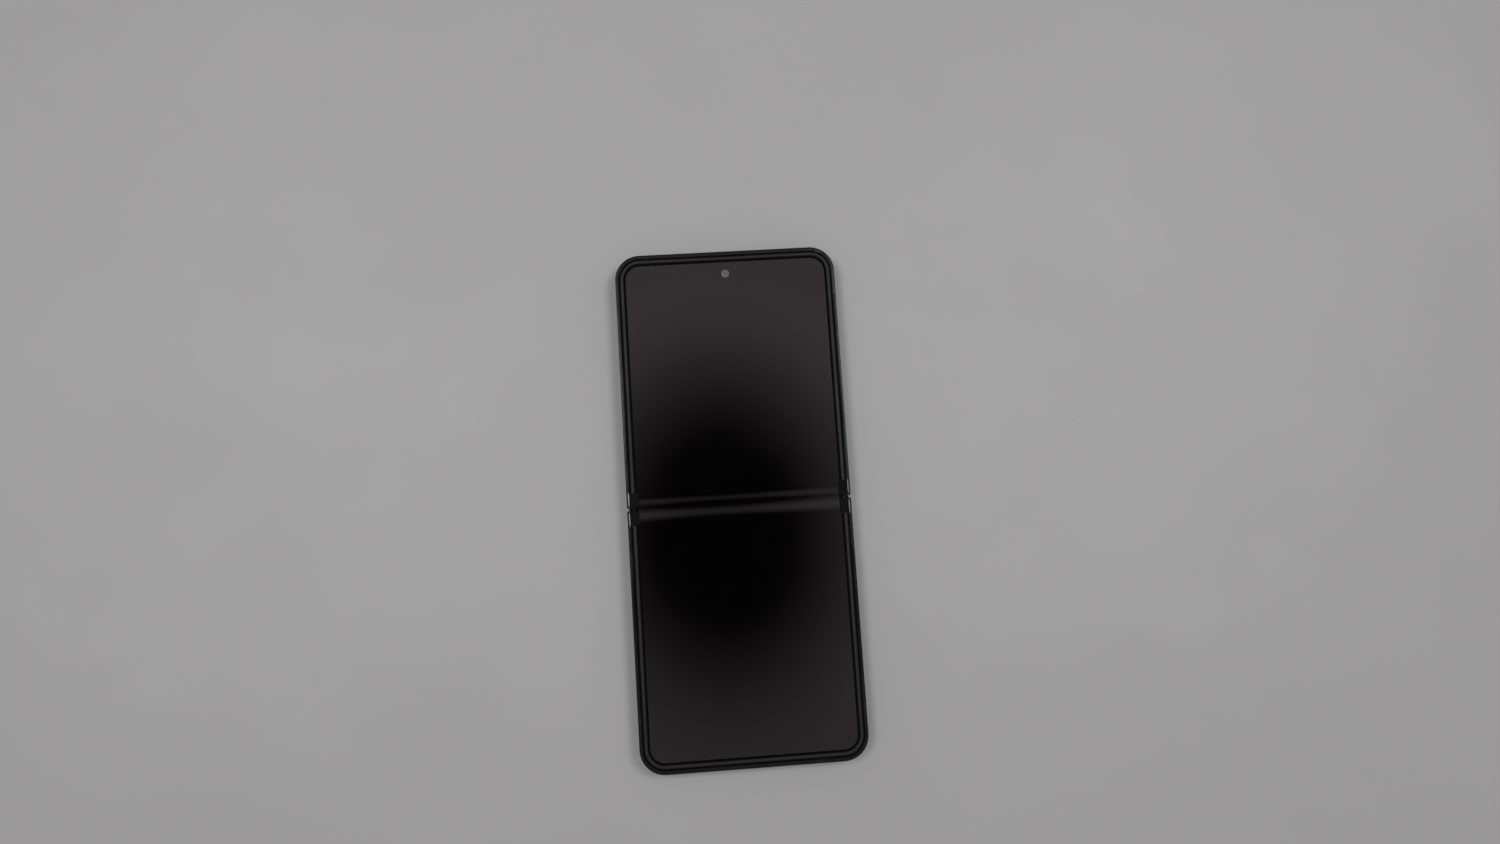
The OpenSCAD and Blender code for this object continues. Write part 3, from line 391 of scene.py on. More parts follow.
looks = {
    "anodised metal": {
        "dark": (0.016, 0.0152, 0.0156), "light": (0.022, 0.021, 0.0215), "rough": (0.17, 0.24),
        "grain": 0.09, "bump": 0.2, "depth": 0.005, "shader": {"Metallic": 0.9}},
    "polished edge": {
        "dark": (0.17, 0.165, 0.17), "light": (0.24, 0.235, 0.24), "rough": (0.16, 0.26), "patch": 3,
        "grain": 0.2, "bump": 0.1, "depth": 0.004, "shader": {"Metallic": 1.0}},
    "bare edge": {
        "dark": (0.052, 0.05, 0.051), "light": (0.075, 0.073, 0.074), "rough": (0.2, 0.3), "patch": 3,
        "grain": 0.2, "bump": 0.1, "depth": 0.004, "shader": {"Metallic": 1.0}},
    "break plastic": {
        "dark": (0.002, 0.002, 0.0022), "light": (0.0035, 0.0035, 0.0038), "rough": (0.42, 0.55),
        "shader": {"Specular IOR Level": 0.2}},
    "frosted glass": {
        "dark": (0.010, 0.010, 0.011), "light": (0.013, 0.013, 0.0145), "rough": (0.34, 0.42),
        "grain": 0.05, "bump": 0.15, "depth": 0.004, "smudge": 24},
    "cover glass": {
        "dark": (0.0014, 0.0014, 0.0017), "light": (0.0020, 0.0020, 0.0023), "rough": (0.03, 0.07),
        "grain": 14, "bump": 0.05, "depth": 0.02, "smudge": 18, "window": coverWindow},
    "screen film": {
        "dark": (0.0010, 0.0008, 0.0009), "light": (0.0014, 0.0011, 0.0013), "rough": (0.05, 0.075),
        "grain": 11, "bump": 0.25, "depth": 0.02, "smudge": 22,
        "shader": {"Specular Tint": (1.0, 0.84, 0.9, 1), "IOR": 1.5}},
    "soft rim": {
        "dark": (0.0065, 0.0062, 0.0065), "light": (0.009, 0.0085, 0.009), "rough": (0.42, 0.55),
        "grain": 0.07, "bump": 0.3, "depth": 0.008, "patch": 4, "shader": {"Specular IOR Level": 0.24}},
    # near black: the print on the lens masks, the spine seals' own black, and painted shade on the rim
    # lips that stands for the shade in the gaps beside the crown
    "ink black and painted rim shade": {
        "dark": (0.0008, 0.0008, 0.0009), "light": (0.0014, 0.0014, 0.0015), "rough": (0.55, 0.7),
        "grain": 0.07, "shader": {"Specular IOR Level": 0.03}},
    "rim cover": {
        "dark": (0.0017, 0.0017, 0.0018), "light": (0.0028, 0.0027, 0.0028), "rough": (0.45, 0.6),
        "grain": 0.07, "shader": {"Specular IOR Level": 0.055}},
    "steel": {
        "dark": (0.42, 0.42, 0.43), "light": (0.52, 0.52, 0.53), "rough": (0.28, 0.4), "grain": 0.05,
        "stretch": (0.2, 1, 1), "shader": {"Metallic": 1.0}},
    "blackened steel": {
        "dark": (0.010, 0.010, 0.0105), "light": (0.017, 0.017, 0.018), "rough": (0.34, 0.46),
        "grain": 0.06, "shader": {"Metallic": 0.9}},
    "dark mesh": {
        "dark": (0.010, 0.010, 0.010), "light": (0.016, 0.016, 0.017), "rough": (0.4, 0.55),
        "shader": {"Metallic": 0.5}},
    "gear brass": {
        "dark": (0.52, 0.38, 0.16), "light": (0.62, 0.47, 0.22), "rough": (0.25, 0.38),
        "shader": {"Metallic": 1.0}},
    "board": {
        "dark": (0.006, 0.04, 0.025), "light": (0.009, 0.055, 0.035), "rough": (0.35, 0.5), "grain": 0.4},
    "battery pouch": {
        "dark": (0.045, 0.045, 0.05), "light": (0.06, 0.06, 0.065), "rough": (0.45, 0.6), "grain": 0.8,
        "depth": 0.03},
    "module black": {
        "dark": (0.010, 0.010, 0.011), "light": (0.016, 0.016, 0.017), "rough": (0.4, 0.55)},
    "flex": {
        "dark": (0.14, 0.055, 0.016), "light": (0.19, 0.08, 0.025), "rough": (0.35, 0.5), "grain": 0.3},
    "camera face": {
        "dark": (0.075, 0.068, 0.070), "light": (0.089, 0.081, 0.083), "rough": (0.4, 0.5),
        "grain": 0.05, "patch": 1.5},
    "lens coating": {
        "dark": (0.006, 0.005, 0.016), "light": (0.010, 0.008, 0.026), "rough": (0.03, 0.06), "patch": 2,
        "grain": 3, "bump": 0.05, "shader": {"Specular Tint": (0.45, 0.55, 1.0, 1), "IOR": 1.8}},
    "clear glass": {
        "dark": (0.93, 0.94, 0.95), "light": (0.97, 0.975, 0.98), "rough": (0.005, 0.015), "grain": 6,
        "bump": 0.03, "shader": {"Transmission Weight": 1.0, "IOR": 1.45}},
    "flash lens": {
        "dark": (0.60, 0.54, 0.36), "light": (0.72, 0.66, 0.46), "rough": (0.12, 0.2), "patch": 1.2,
        "shader": {"Subsurface Weight": 0.15}},
    "contact gold": {
        "dark": (0.75, 0.55, 0.22), "light": (0.85, 0.63, 0.28), "rough": (0.2, 0.3),
        "shader": {"Metallic": 1.0}},
}
finishes = {name: finish(name, look) for name, look in looks.items()}

# the finish of each CAD node
nodeFinish = {
    "anodised metal": ["lower_frame", "upper_frame", "volume_key", "power_key", "sim_tray", "spine_cover",
                       "spine_end_caps", "rear_lens_rings"],
    "break plastic": ["lower_antenna_breaks", "upper_antenna_breaks"],
    "soft rim": ["lower_rim", "upper_rim"],
    "rim cover": ["lower_rim_ends", "upper_rim_ends"],
    "frosted glass": ["lower_back_glass", "upper_back_glass"],
    "cover glass": ["cover_panel", "rear_lens_glass", "cover_display"],
    "screen film": ["lower_display", "upper_display", "fold_display"],
    "steel": ["lower_support_plate", "upper_support_plate", "usb_c_port", "vibration_motor",
              "bottom_microphone", "lower_magnets", "upper_magnets", "lower_rail_arms", "upper_rail_arms",
              "lower_slot_brackets", "upper_slot_brackets", "lower_screws", "upper_screws",
              "board_shields", "sim_reader", "hinge_pins", "lower_sync_arms", "upper_sync_arms"],
    "blackened steel": ["hinge_brackets"],
    "dark mesh": ["earpiece_mesh"],
    "gear brass": ["charging_coil", "friction_washers", "lower_idlers", "upper_idlers"],
    "board": ["charging_board", "main_board"],
    "battery pouch": ["lower_battery", "upper_battery"],
    "module black": ["loudspeaker", "earpiece", "rear_cameras", "front_camera"],
    "flex": ["lower_flex", "upper_flex", "fold_flex", "key_switches"],
    "flash lens": ["flash_led"],
}
for name, members in nodeFinish.items():
    for node in members:
        mesh = nodes[node].data
        mesh.materials.clear()
        mesh.materials.append(finishes[name])
print("finishes:", len(finishes))

# camera, desk and light

shot = {
    "place": (-11.73, -7.15, 329.45),
    "turn": (6.036, -2.591, -3.696),
    "focal": 1000.0,              # pixels, in a picture as wide as the next line says
    "pictureWidth": 1500,
    "sensor": 36,
    "clip": (10, 20000),
}
camera = linked("camera", bpy.data.cameras.new("camera"))
camera.data.sensor_width = shot["sensor"]
camera.data.lens = shot["focal"] / shot["pictureWidth"] * shot["sensor"]
camera.location = Vector(shot["place"]) * mm
camera.rotation_euler = Euler([math.radians(a) for a in shot["turn"]], "XYZ")
camera.data.clip_start, camera.data.clip_end = (distance * mm for distance in shot["clip"])
bpy.context.scene.camera = camera
bpy.context.scene.view_settings.view_transform = "Standard"

desk = {
    "size": 3000,
    "cells": 4,
    "look": {"dark": (0.350, 0.344, 0.350), "light": (0.362, 0.356, 0.362), "rough": (0.5, 0.6),
             "patch": 60, "smudge": 40, "grain": 0.4, "bump": 0.06},
}
bm = bmesh.new()
bmesh.ops.create_grid(bm, x_segments=desk["cells"], y_segments=desk["cells"], size=desk["size"] / 2 * mm)
floor = linked("desk", meshFrom(bm, "desk"))
floor.data.materials.append(finish("desk laminate", desk["look"]))

# the ceiling light has a soft dark opening near the zenith, which the screen mirrors about the fold
ceiling = {
    "centre": (0.0178, -0.0042),  # slopes from the zenith
    "spread": (0.0787, 0.1038),   # half widths of the opening, in the same slopes
    "edge": (0.75, 2.45),         # where it starts and ends fading, in half widths
    "level": 0.72,
    "tilt": 0.69,                 # how much brighter the ceiling grows towards the far end
    "limits": (0.52, 0.86),
    "rim": (0.22, 0.6),           # the slopes between which the ceiling turns into the walls
    "walls": 0.36,                # brightness of the walls
    "lowest": 0.02,               # height of a direction, below which its slopes grow no more
    "colour": (1.0, 0.985, 0.99, 1),
}


def makeSky():
    world = bpy.data.worlds.new("studio")
    bpy.context.scene.world = world
    world.use_nodes = True
    tree = world.node_tree
    tree.nodes.clear()
    direction = addNode(tree, "ShaderNodeSeparateXYZ",
                        {"Vector": addNode(tree, "ShaderNodeTexCoord").outputs["Generated"]})
    height = calc(tree, "MAXIMUM", direction.outputs["Z"], ceiling["lowest"])
    slopes = [calc(tree, "DIVIDE", direction.outputs[axis], height) for axis in "XY"]
    squares = []
    for slope, centre, spread in zip(slopes, ceiling["centre"], ceiling["spread"]):
        across = calc(tree, "DIVIDE", calc(tree, "SUBTRACT", slope, centre), spread)
        squares.append(calc(tree, "MULTIPLY", across, across))
    reach = calc(tree, "SQRT", calc(tree, "ADD", *squares))
    fade = nodeOut(tree, "ShaderNodeMapRange",
                   {"Value": reach, "From Min": ceiling["edge"][0], "From Max": ceiling["edge"][1]},
                   interpolation_type="SMOOTHSTEP")
    level = calc(tree, "MULTIPLY_ADD", slopes[1], ceiling["tilt"], ceiling["level"])
    level = calc(tree, "MAXIMUM", level, ceiling["limits"][0])
    level = calc(tree, "MINIMUM", level, ceiling["limits"][1])
    squares = [calc(tree, "MULTIPLY", slope, slope) for slope in slopes]
    away = calc(tree, "SQRT", calc(tree, "ADD", *squares))
    level = nodeOut(tree, "ShaderNodeMapRange",
                    {"Value": away, "From Min": ceiling["rim"][0], "From Max": ceiling["rim"][1],
                     "To Min": level, "To Max": ceiling["walls"]})
    background = nodeOut(tree, "ShaderNodeBackground",
                         {"Color": ceiling["colour"], "Strength": calc(tree, "MULTIPLY", level, fade)})
    addNode(tree, "ShaderNodeOutputWorld", {"Surface": background})


makeSky()

softboxes = {
    "left": {"place": (-410, 170, 950), "size": 300, "power": 3.3},
    "right": {"place": (440, 200, 950), "size": 300, "power": 3.3},
}
for name, box in softboxes.items():
    light = bpy.data.lights.new(name, "AREA")
    light.shape = "SQUARE"
    light.size = box["size"] * mm
    light.energy = box["power"]
    lamp = linked(name, light)
    lamp.location = Vector(box["place"]) * mm
    lamp.rotation_euler = (-Vector(box["place"])).to_track_quat("-Z", "Y").to_euler()
print("stage ready")

# screen film, in two pieces that meet on the fold

foldHigh = boxOf("fold_display")[1]
cameraLow, cameraHigh = boxOf("front_camera")
cameraY = (cameraLow.y + cameraHigh.y) / 2
screen = {
    "top": screenHigh.z,
    "bottom": screenLow.z,
    "edge": screenHigh.x,          # half width under the rim
    "end": screenHigh.y,
    "cornerRadius": 6.2,
    "foldEdge": foldHigh.x,        # half width between the flat covers beside the fold
    "foldReach": 4.3,              # where it widens, from the fold
    "widening": 0.01,              # the length over which it widens
    "creaseDepth": 0.2,
    "creaseReach": (3.6, 4.9),     # of the crease above and below its valley
    "valley": 0.4,                 # from the fold line to the valley
    "bendReach": 4.0,              # the film bends between the fold and this distance
    "columns": 48,
    "fineStep": 0.2,               # between rows at the fold
    "fineRows": 22,
    "middleRows": (4.6, 4.9, 5.3),
    "flatStart": 7.0,              # the first of the rows that are wide apart
    "flatStep": 2.4,
    "flatMargin": 2.0,             # from the last of them to the corner
    "cornerSteps": 14,
    "cameraHole": 1.45,
}


def creaseDrop(y):
    # how far the film sinks into the crease; y is positive on the upper half
    d = y - screen["valley"]
    reach = screen["creaseReach"][0] if d > 0 else screen["creaseReach"][1]
    if abs(d) >= reach:
        return 0.0
    return screen["creaseDepth"] * math.cos(math.pi / 2 * d / reach) ** 2


def screenRows():
    # close together where the film bends, wide apart on the flat and close again round the corners
    start, step = screen["flatStart"], screen["flatStep"]
    turns, radius = screen["cornerSteps"], screen["cornerRadius"]
    corner = screen["end"] - radius
    rows = [screen["fineStep"] * i for i in range(screen["fineRows"])]
    rows += [screen["foldReach"], screen["foldReach"] + screen["widening"], *screen["middleRows"]]
    rows += [start + step * i for i in range(int((corner - start - screen["flatMargin"]) / step) + 1)]
    return rows + [corner + radius * math.sin(math.pi / 2 * i / turns) for i in range(turns + 1)]


def screenHalfWidth(y):
    r = screen["cornerRadius"]
    over = y - (screen["end"] - r)
    if y <= screen["foldReach"]:
        return screen["foldEdge"]
    if over <= 0:
        return screen["edge"]
    return screen["edge"] - r + math.sqrt(max(r * r - over * over, 0))


def makeScreen(name, side, replaced):
    bm = bmesh.new()
    columns = screen["columns"]
    rings = []
    for y in screenRows():
        w = screenHalfWidth(y)
        xs = [w * (2 * i / columns - 1) for i in range(columns + 1)]
        top = screen["top"] - creaseDrop(side * y)
        ring = [(x * mm, side * y * mm, top * mm) for x in xs]
        ring += [(x * mm, side * y * mm, screen["bottom"] * mm) for x in reversed(xs)]
        rings.append(ring)
    loftRings(bm, rings)
    bmesh.ops.remove_doubles(bm, verts=bm.verts, dist=mergeDistance)
    mesh = meshFrom(bm, name)
    if side > 0:
        mesh = drilled(mesh, (0, cameraY), [(0, 0, screen["cameraHole"])])
    film = dress(name, mesh, "screen film", None, replaced, "screen", 30)
    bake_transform(film)


makeScreen("screen_upper", 1, ["upper_display", "fold_display"])
makeScreen("screen_lower", -1, ["lower_display"])
print("screen ready")

# soft rims, swept along the edge of each half

rimLow, rimHigh = boxOf("upper_rim")
rim = {
    "Half width": rimHigh.x,
    "End": rimHigh.y,
    "Start": rimLow.y,
    "Corner": 7.0,
    "Width": 2.4,
    "Height": rimHigh.z - rimLow.z,
    "Lip": 0.15,                  # height of the thin lips beside the crown
    "Crown": 1.2,
    "Shoulder": 0.45,             # rounding of the crown
    "Base": rimLow.z,
    "Steps": 96,                  # round the section
    "Turns": 24,                  # round each corner
}


def makeRimTree():
    tree, given, sockets = startTree("rim sweep", {**rim, "Side": 1.0})
    index = nodeOut(tree, "GeometryNodeInputIndex")
    # the route has four corners: two at the fold and two at the end, which are then rounded
    right = calc(tree, "MULTIPLY_ADD", calc(tree, "LESS_THAN", index, 1.5), 2.0, -1.0)
    atEnd = calc(tree, "MULTIPLY", calc(tree, "GREATER_THAN", index, 0.5),
                 calc(tree, "LESS_THAN", index, 2.5))
    y = calc(tree, "MULTIPLY_ADD", atEnd, calc(tree, "SUBTRACT", given["End"], given["Start"]),
             given["Start"])
    corner = vector(tree, calc(tree, "MULTIPLY", right, given["Half width"]),
                    calc(tree, "MULTIPLY", y, given["Side"]), given["Base"])
    line = nodeOut(tree, "GeometryNodeMeshLine", {"Count": 4})
    line = nodeOut(tree, "GeometryNodeSetPosition", {"Geometry": line, "Position": corner})
    route = nodeOut(tree, "GeometryNodeMeshToCurve", {"Mesh": line})
    route = nodeOut(tree, "GeometryNodeFilletCurve",
                    {"Curve": route, "Count": given["Turns"], "Radius": given["Corner"]}, mode="POLY")
    route = nodeOut(tree, "GeometryNodeSetCurveNormal", {"Curve": route}, mode="Z_UP")
    # the section: distance in from the outer edge, and height, with a round crown between two lips
    share = calc(tree, "DIVIDE", index, given["Steps"])
    away = calc(tree, "ABSOLUTE", calc(tree, "SUBTRACT", share, 0.5))
    away = calc(tree, "MULTIPLY", away, given["Width"])
    flat = calc(tree, "SUBTRACT", calc(tree, "MULTIPLY", given["Crown"], 0.5), given["Shoulder"])
    over = calc(tree, "MAXIMUM", calc(tree, "SUBTRACT", away, flat), 0.0)
    square = calc(tree, "SUBTRACT", calc(tree, "MULTIPLY", given["Shoulder"], given["Shoulder"]),
                  calc(tree, "MULTIPLY", over, over))
    arch = calc(tree, "SQRT", calc(tree, "MAXIMUM", square, 0.0))
    rise = calc(tree, "DIVIDE", calc(tree, "SUBTRACT", given["Height"], given["Lip"]), given["Shoulder"])
    height = calc(tree, "MULTIPLY_ADD", arch, rise, given["Lip"])
    # 0 at both ends of the section, which keep the height of the base, and 1 between
    inner = calc(tree, "MULTIPLY", calc(tree, "GREATER_THAN", share, 0.001),
                 calc(tree, "LESS_THAN", share, 0.999))
    outward = calc(tree, "MULTIPLY", given["Side"], -1.0)
    point = vector(tree, calc(tree, "MULTIPLY", calc(tree, "MULTIPLY", share, given["Width"]), outward),
                   calc(tree, "MULTIPLY", calc(tree, "MULTIPLY", height, inner), -1.0), 0.0)
    section = nodeOut(tree, "GeometryNodeMeshLine", {"Count": calc(tree, "ADD", given["Steps"], 1.0)})
    kept = addNode(tree, "GeometryNodeCaptureAttribute", {"Geometry": section})
    kept.capture_items.new("FLOAT", "away")
    tree.links.new(away, kept.inputs[1])
    section = nodeOut(tree, "GeometryNodeSetPosition", {"Geometry": kept.outputs[0], "Position": point})
    section = nodeOut(tree, "GeometryNodeMeshToCurve", {"Mesh": section})
    section = nodeOut(tree, "GeometryNodeSetSplineCyclic", {"Geometry": section, "Cyclic": True})
    body = nodeOut(tree, "GeometryNodeCurveToMesh",
                   {"Curve": route, "Profile Curve": section, "Fill Caps": True})
    # the crown takes the soft rim finish; the lips and underside take a near black one, which is painted
    # shade for the gaps between the rim, the frame and the film
    crown = calc(tree, "LESS_THAN", kept.outputs[1], calc(tree, "MULTIPLY", given["Crown"], 0.5))
    endTree(tree, body, [(finishes["ink black and painted rim shade"], None), (finishes["soft rim"], crown)])
    return tree, sockets


rimTree = makeRimTree()
earSlots = {"x": -0.5, "halfWidth": 0.35, "halfLength": 7.3, "ribX": 3.0, "ribWidth": 0.4, "inset": 2.15}
earSpot = (earSlots["x"], frameHigh.y - earSlots["inset"])


def slotShapes():
    # the slot is in three parts with a rib between each two
    r, half, rib = earSlots["halfWidth"], earSlots["halfLength"], earSlots["ribWidth"] / 2
    inner, outer = earSlots["ribX"] - rib, earSlots["ribX"] + rib
    centre, reach = (outer + half) / 2, (half - outer) / 2 - r
    return [(0, inner - r, r), (centre, reach, r), (-centre, reach, r)]


for side, half in ((1.0, "upper"), (-1.0, "lower")):
    mesh = tidied(runTree(*rimTree, {**rim, "Side": side}), "rim_" + half)
    if side > 0:
        mesh = drilled(mesh, earSpot, slotShapes())
    dress("rim_" + half, mesh, None, half + "_half", [half + "_rim"], "soft_rim", 50)
    weldedCopy(half + "_rim_ends", "soft_rim", bevel["rimEnds"])
print("rims ready")

# woven wire mesh over the earpiece and behind the row of speaker holes

weaves = {
    # the gap between the film and the rim is 0.1 high, which the wires fill
    "earpiece_weave": {"body": "upper_half", "stands": ["earpiece_mesh"],
                       "size": {"Along": 74, "Across": 5, "Pitch": 0.2, "Wire": 0.024,
                                "Place": (*earSpot, rimLow.z - 0.05), "Turn": (0.0, 0.0, 0.0)}},
    "speaker_weave": {"body": "lower_half", "stands": [],
                      "size": {"Along": 39, "Across": 6, "Pitch": 0.24, "Wire": 0.022,
                               "Place": (13.2, -81.35, 3.8), "Turn": (math.pi / 2, 0.0, 0.0)}},
}


def makeWeaveTree():
    tree, given, sockets = startTree("woven mesh", weaves["earpiece_weave"]["size"])
    pitch = given["Pitch"]
    spot = addNode(tree, "ShaderNodeSeparateXYZ",
                   {"Vector": nodeOut(tree, "GeometryNodeInputPosition")}).outputs
    # the wires pass over and under each other on a chequerboard of crossings
    turns = [calc(tree, "MULTIPLY", calc(tree, "DIVIDE", spot[axis], pitch), math.pi) for axis in "XY"]
    wave = calc(tree, "MULTIPLY", *[calc(tree, "COSINE", turn) for turn in turns])
    ring = nodeOut(tree, "GeometryNodeCurvePrimitiveCircle", {"Resolution": 6, "Radius": given["Wire"]})
    sets = []
    counts = (given["Across"], given["Along"])
    for (count, other), turned in ((counts, False), (reversed(counts), True)):
        start = calc(tree, "MULTIPLY", pitch, -0.5)
        stop = calc(tree, "MULTIPLY", pitch, calc(tree, "SUBTRACT", other, 0.5))
        ends = [vector(tree, *((0.0, d, 0.0) if turned else (d, 0.0, 0.0))) for d in (start, stop)]
        step = vector(tree, *((pitch, 0.0, 0.0) if turned else (0.0, pitch, 0.0)))
        wire = nodeOut(tree, "GeometryNodeCurvePrimitiveLine", {"Start": ends[0], "End": ends[1]})
        wire = nodeOut(tree, "GeometryNodeResampleCurve",
                       {"Curve": wire, "Count": calc(tree, "MULTIPLY_ADD", other, 4.0, 1.0)})
        rows = nodeOut(tree, "GeometryNodeMeshLine", {"Count": count, "Offset": step})
        wires = nodeOut(tree, "GeometryNodeInstanceOnPoints", {"Points": rows, "Instance": wire})
        wires = nodeOut(tree, "GeometryNodeRealizeInstances", {"Geometry": wires})
        lift = calc(tree, "MULTIPLY", given["Wire"], -1.0 if turned else 1.0)
        rise = calc(tree, "MULTIPLY", wave, lift)
        wires = nodeOut(tree, "GeometryNodeSetPosition",
                        {"Geometry": wires, "Offset": vector(tree, 0.0, 0.0, rise)})
        sets.append(nodeOut(tree, "GeometryNodeCurveToMesh",
                            {"Curve": wires, "Profile Curve": ring, "Fill Caps": True}))
    both = addNode(tree, "GeometryNodeJoinGeometry")
    for part in sets:
        tree.links.new(part, both.inputs[0])
    centre = [calc(tree, "MULTIPLY", calc(tree, "MULTIPLY_ADD", given[axis], -0.5, 0.5), pitch)
              for axis in ("Along", "Across")]
    cloth = nodeOut(tree, "GeometryNodeTransform",
                    {"Geometry": both.outputs[0], "Translation": vector(tree, *centre, 0.0)})
    cloth = nodeOut(tree, "GeometryNodeTransform", {"Geometry": cloth, "Translation": given["Place"],
                                                    "Rotation": given["Turn"]})
    endTree(tree, cloth, [(finishes["dark mesh"], None)])
    return tree, sockets


weaveTree = makeWeaveTree()
for name, weave in weaves.items():
    mesh = tidied(runTree(*weaveTree, weave["size"]), name)
    dress(name, mesh, None, weave["body"], weave["stands"], "steel", 60)
print("meshes ready")

# gold contacts on both faces of the charging port's tongue

portLow, portHigh = boxOf("usb_c_port")
contacts = {
    "Count": 12, "Pitch": 0.5, "Width": 0.26, "Length": 3.6, "Proud": 0.03, "Tongue": 0.7, "Dip": 0.08,
    "Place": (0.0, portLow.y + 1.1, (portLow.z + portHigh.z) / 2),
}
contactSteps = 12
dipShare = 0.25                   # of the length of a contact
cornerShare = 0.6                 # rounding of a contact, in its height over the tongue


def makeContactTree():
    tree, given, sockets = startTree("contact row", contacts)
    strip = nodeOut(tree, "GeometryNodeCurvePrimitiveLine",
                    {"Start": (0.0, 0.0, 0.0), "End": vector(tree, 0.0, given["Length"], 0.0)})
    strip = nodeOut(tree, "GeometryNodeResampleCurve", {"Curve": strip, "Count": contactSteps + 1})
    # the free end dips into the tongue
    factor = addNode(tree, "GeometryNodeSplineParameter").outputs["Factor"]
    late = calc(tree, "MAXIMUM", calc(tree, "SUBTRACT", dipShare, factor), 0.0)
    drop = calc(tree, "MULTIPLY", calc(tree, "MULTIPLY", late, late),
                calc(tree, "MULTIPLY", given["Dip"], -1 / dipShare ** 2))
    level = calc(tree, "ADD", calc(tree, "MULTIPLY", given["Tongue"], 0.5), drop)
    strip = nodeOut(tree, "GeometryNodeSetPosition",
                    {"Geometry": strip, "Offset": vector(tree, 0.0, 0.0, level)})
    strip = nodeOut(tree, "GeometryNodeSetCurveNormal", {"Curve": strip}, mode="Z_UP")
    section = nodeOut(tree, "GeometryNodeCurvePrimitiveQuadrilateral",
                      {"Width": given["Width"], "Height": calc(tree, "MULTIPLY", given["Proud"], 2.0)})
    rounding = calc(tree, "MULTIPLY", given["Proud"], cornerShare)
    section = nodeOut(tree, "GeometryNodeFilletCurve",
                      {"Curve": section, "Count": 2, "Radius": rounding}, mode="POLY")
    bar = nodeOut(tree, "GeometryNodeCurveToMesh",
                  {"Curve": strip, "Profile Curve": section, "Fill Caps": True})
    start = calc(tree, "MULTIPLY", calc(tree, "MULTIPLY_ADD", given["Count"], -0.5, 0.5), given["Pitch"])
    row = nodeOut(tree, "GeometryNodeMeshLine",
                  {"Count": given["Count"], "Start Location": vector(tree, start, 0.0, 0.0),
                   "Offset": vector(tree, given["Pitch"], 0.0, 0.0)})
    row = nodeOut(tree, "GeometryNodeInstanceOnPoints", {"Points": row, "Instance": bar})
    other = nodeOut(tree, "GeometryNodeTransform", {"Geometry": row, "Rotation": (0.0, math.pi, 0.0)})
    both = addNode(tree, "GeometryNodeJoinGeometry")
    for part in (row, other):
        tree.links.new(part, both.inputs[0])
    placed = nodeOut(tree, "GeometryNodeTransform",
                     {"Geometry": both.outputs[0], "Translation": given["Place"]})
    endTree(tree, placed, [(finishes["contact gold"], None)])
    return tree, sockets


dress("port_contacts", tidied(runTree(*makeContactTree(), contacts), "port_contacts"), None, "lower_half",
      slot="gear_brass", angle=50)
print("port ready")

# rings that repeat: the baffles inside the rear cameras and the ridges of the flash lens


def makeRingTree(name, look, sizes):
    tree, given, sockets = startTree(name, sizes)
    index = nodeOut(tree, "GeometryNodeInputIndex")
    radius = calc(tree, "MULTIPLY_ADD", index, given["Step"], given["First"])
    circle = nodeOut(tree, "GeometryNodeCurvePrimitiveCircle", {"Resolution": 64, "Radius": 1.0})
    stack = nodeOut(tree, "GeometryNodeMeshLine", {"Count": given["Count"],
                                                   "Offset": vector(tree, 0.0, 0.0, given["Climb"])})
    rings = nodeOut(tree, "GeometryNodeInstanceOnPoints", {"Points": stack, "Instance": circle,
                                                           "Scale": vector(tree, radius, radius, 1.0)})
    rings = nodeOut(tree, "GeometryNodeRealizeInstances", {"Geometry": rings})
    rings = nodeOut(tree, "GeometryNodeSetCurveNormal", {"Curve": rings}, mode="Z_UP")
    section = nodeOut(tree, "GeometryNodeCurvePrimitiveQuadrilateral",
                      {"Width": given["Width"], "Height": given["Height"]})
    rings = nodeOut(tree, "GeometryNodeCurveToMesh", {"Curve": rings, "Profile Curve": section})
    spots = nodeOut(tree, "GeometryNodeMeshLine",
                    {"Count": given["Copies"], "Start Location": given["Place"], "Offset": given["Next"]})
    spots = nodeOut(tree, "GeometryNodeInstanceOnPoints", {"Points": spots, "Instance": rings})
    endTree(tree, spots, [(finishes[look], None)])
    return tree, sockets


lensLow, lensHigh = boxOf("rear_lens_glass")
coverTop = boxOf("cover_panel")[1].z
lensRadius = (lensHigh.x - lensLow.x) / 2
lens = {
    "x": (lensLow.x + lensHigh.x) / 2,
    "ys": (lensHigh.y - lensRadius, lensLow.y + lensRadius),
    "radius": lensRadius,
    "glass": (lensLow.z, lensHigh.z),
    "glassGap": 0.02,                  # round the glass
    "glassEdge": 0.05,
    "maskZ": coverTop + 0.02,          # the black ring printed inside the glass
    "maskHeight": 0.05,
    "clear": 2.75,                     # radius of its clear middle
    "barrel": 3.6,
    "barrelEdge": 0.08,
    "mouthZ": 1.0,
    "mouthEdge": 0.06,
    "lip": 0.1,                        # width of the slopes round the mouth and the throat
    "throat": 1.35,                    # radius at the bottom of the cone, round the front element
    "throatZ": 1.95,
    "throatEdge": 0.08,
    "bulge": 0.45,                     # of the front element towards the glass
    "elementDepth": 0.1,               # from the throat to its back
    "blockHalf": 4.7,
    "blockRadius": 0.8,
    "blockZ": (2.2, 5.4),
    "overlap": 0.3,                    # of the barrel and the block
}
flashLow, flashHigh = boxOf("flash_led")
flash = {
    "y": (flashLow.y + flashHigh.y) / 2,
    "radius": (flashHigh.x - flashLow.x) / 2 - 0.02,
    "z": (flashLow.z, coverTop),
    "edge": 0.06,
    "dish": (0.35, 0.3),               # insets of its floor and its brim
    "dishDepth": 0.04,
    "lamp": 1.4,
    "lampTop": flashHigh.z,
}


def domeProfile(radius, base, rise, steps):
    # points for lathe, from the top of a round bulge down to its foot
    turns = [math.pi / 2 * i / steps for i in range(steps + 1)]
    return [(radius * math.sin(a), base + rise * math.cos(a)) for a in turns]


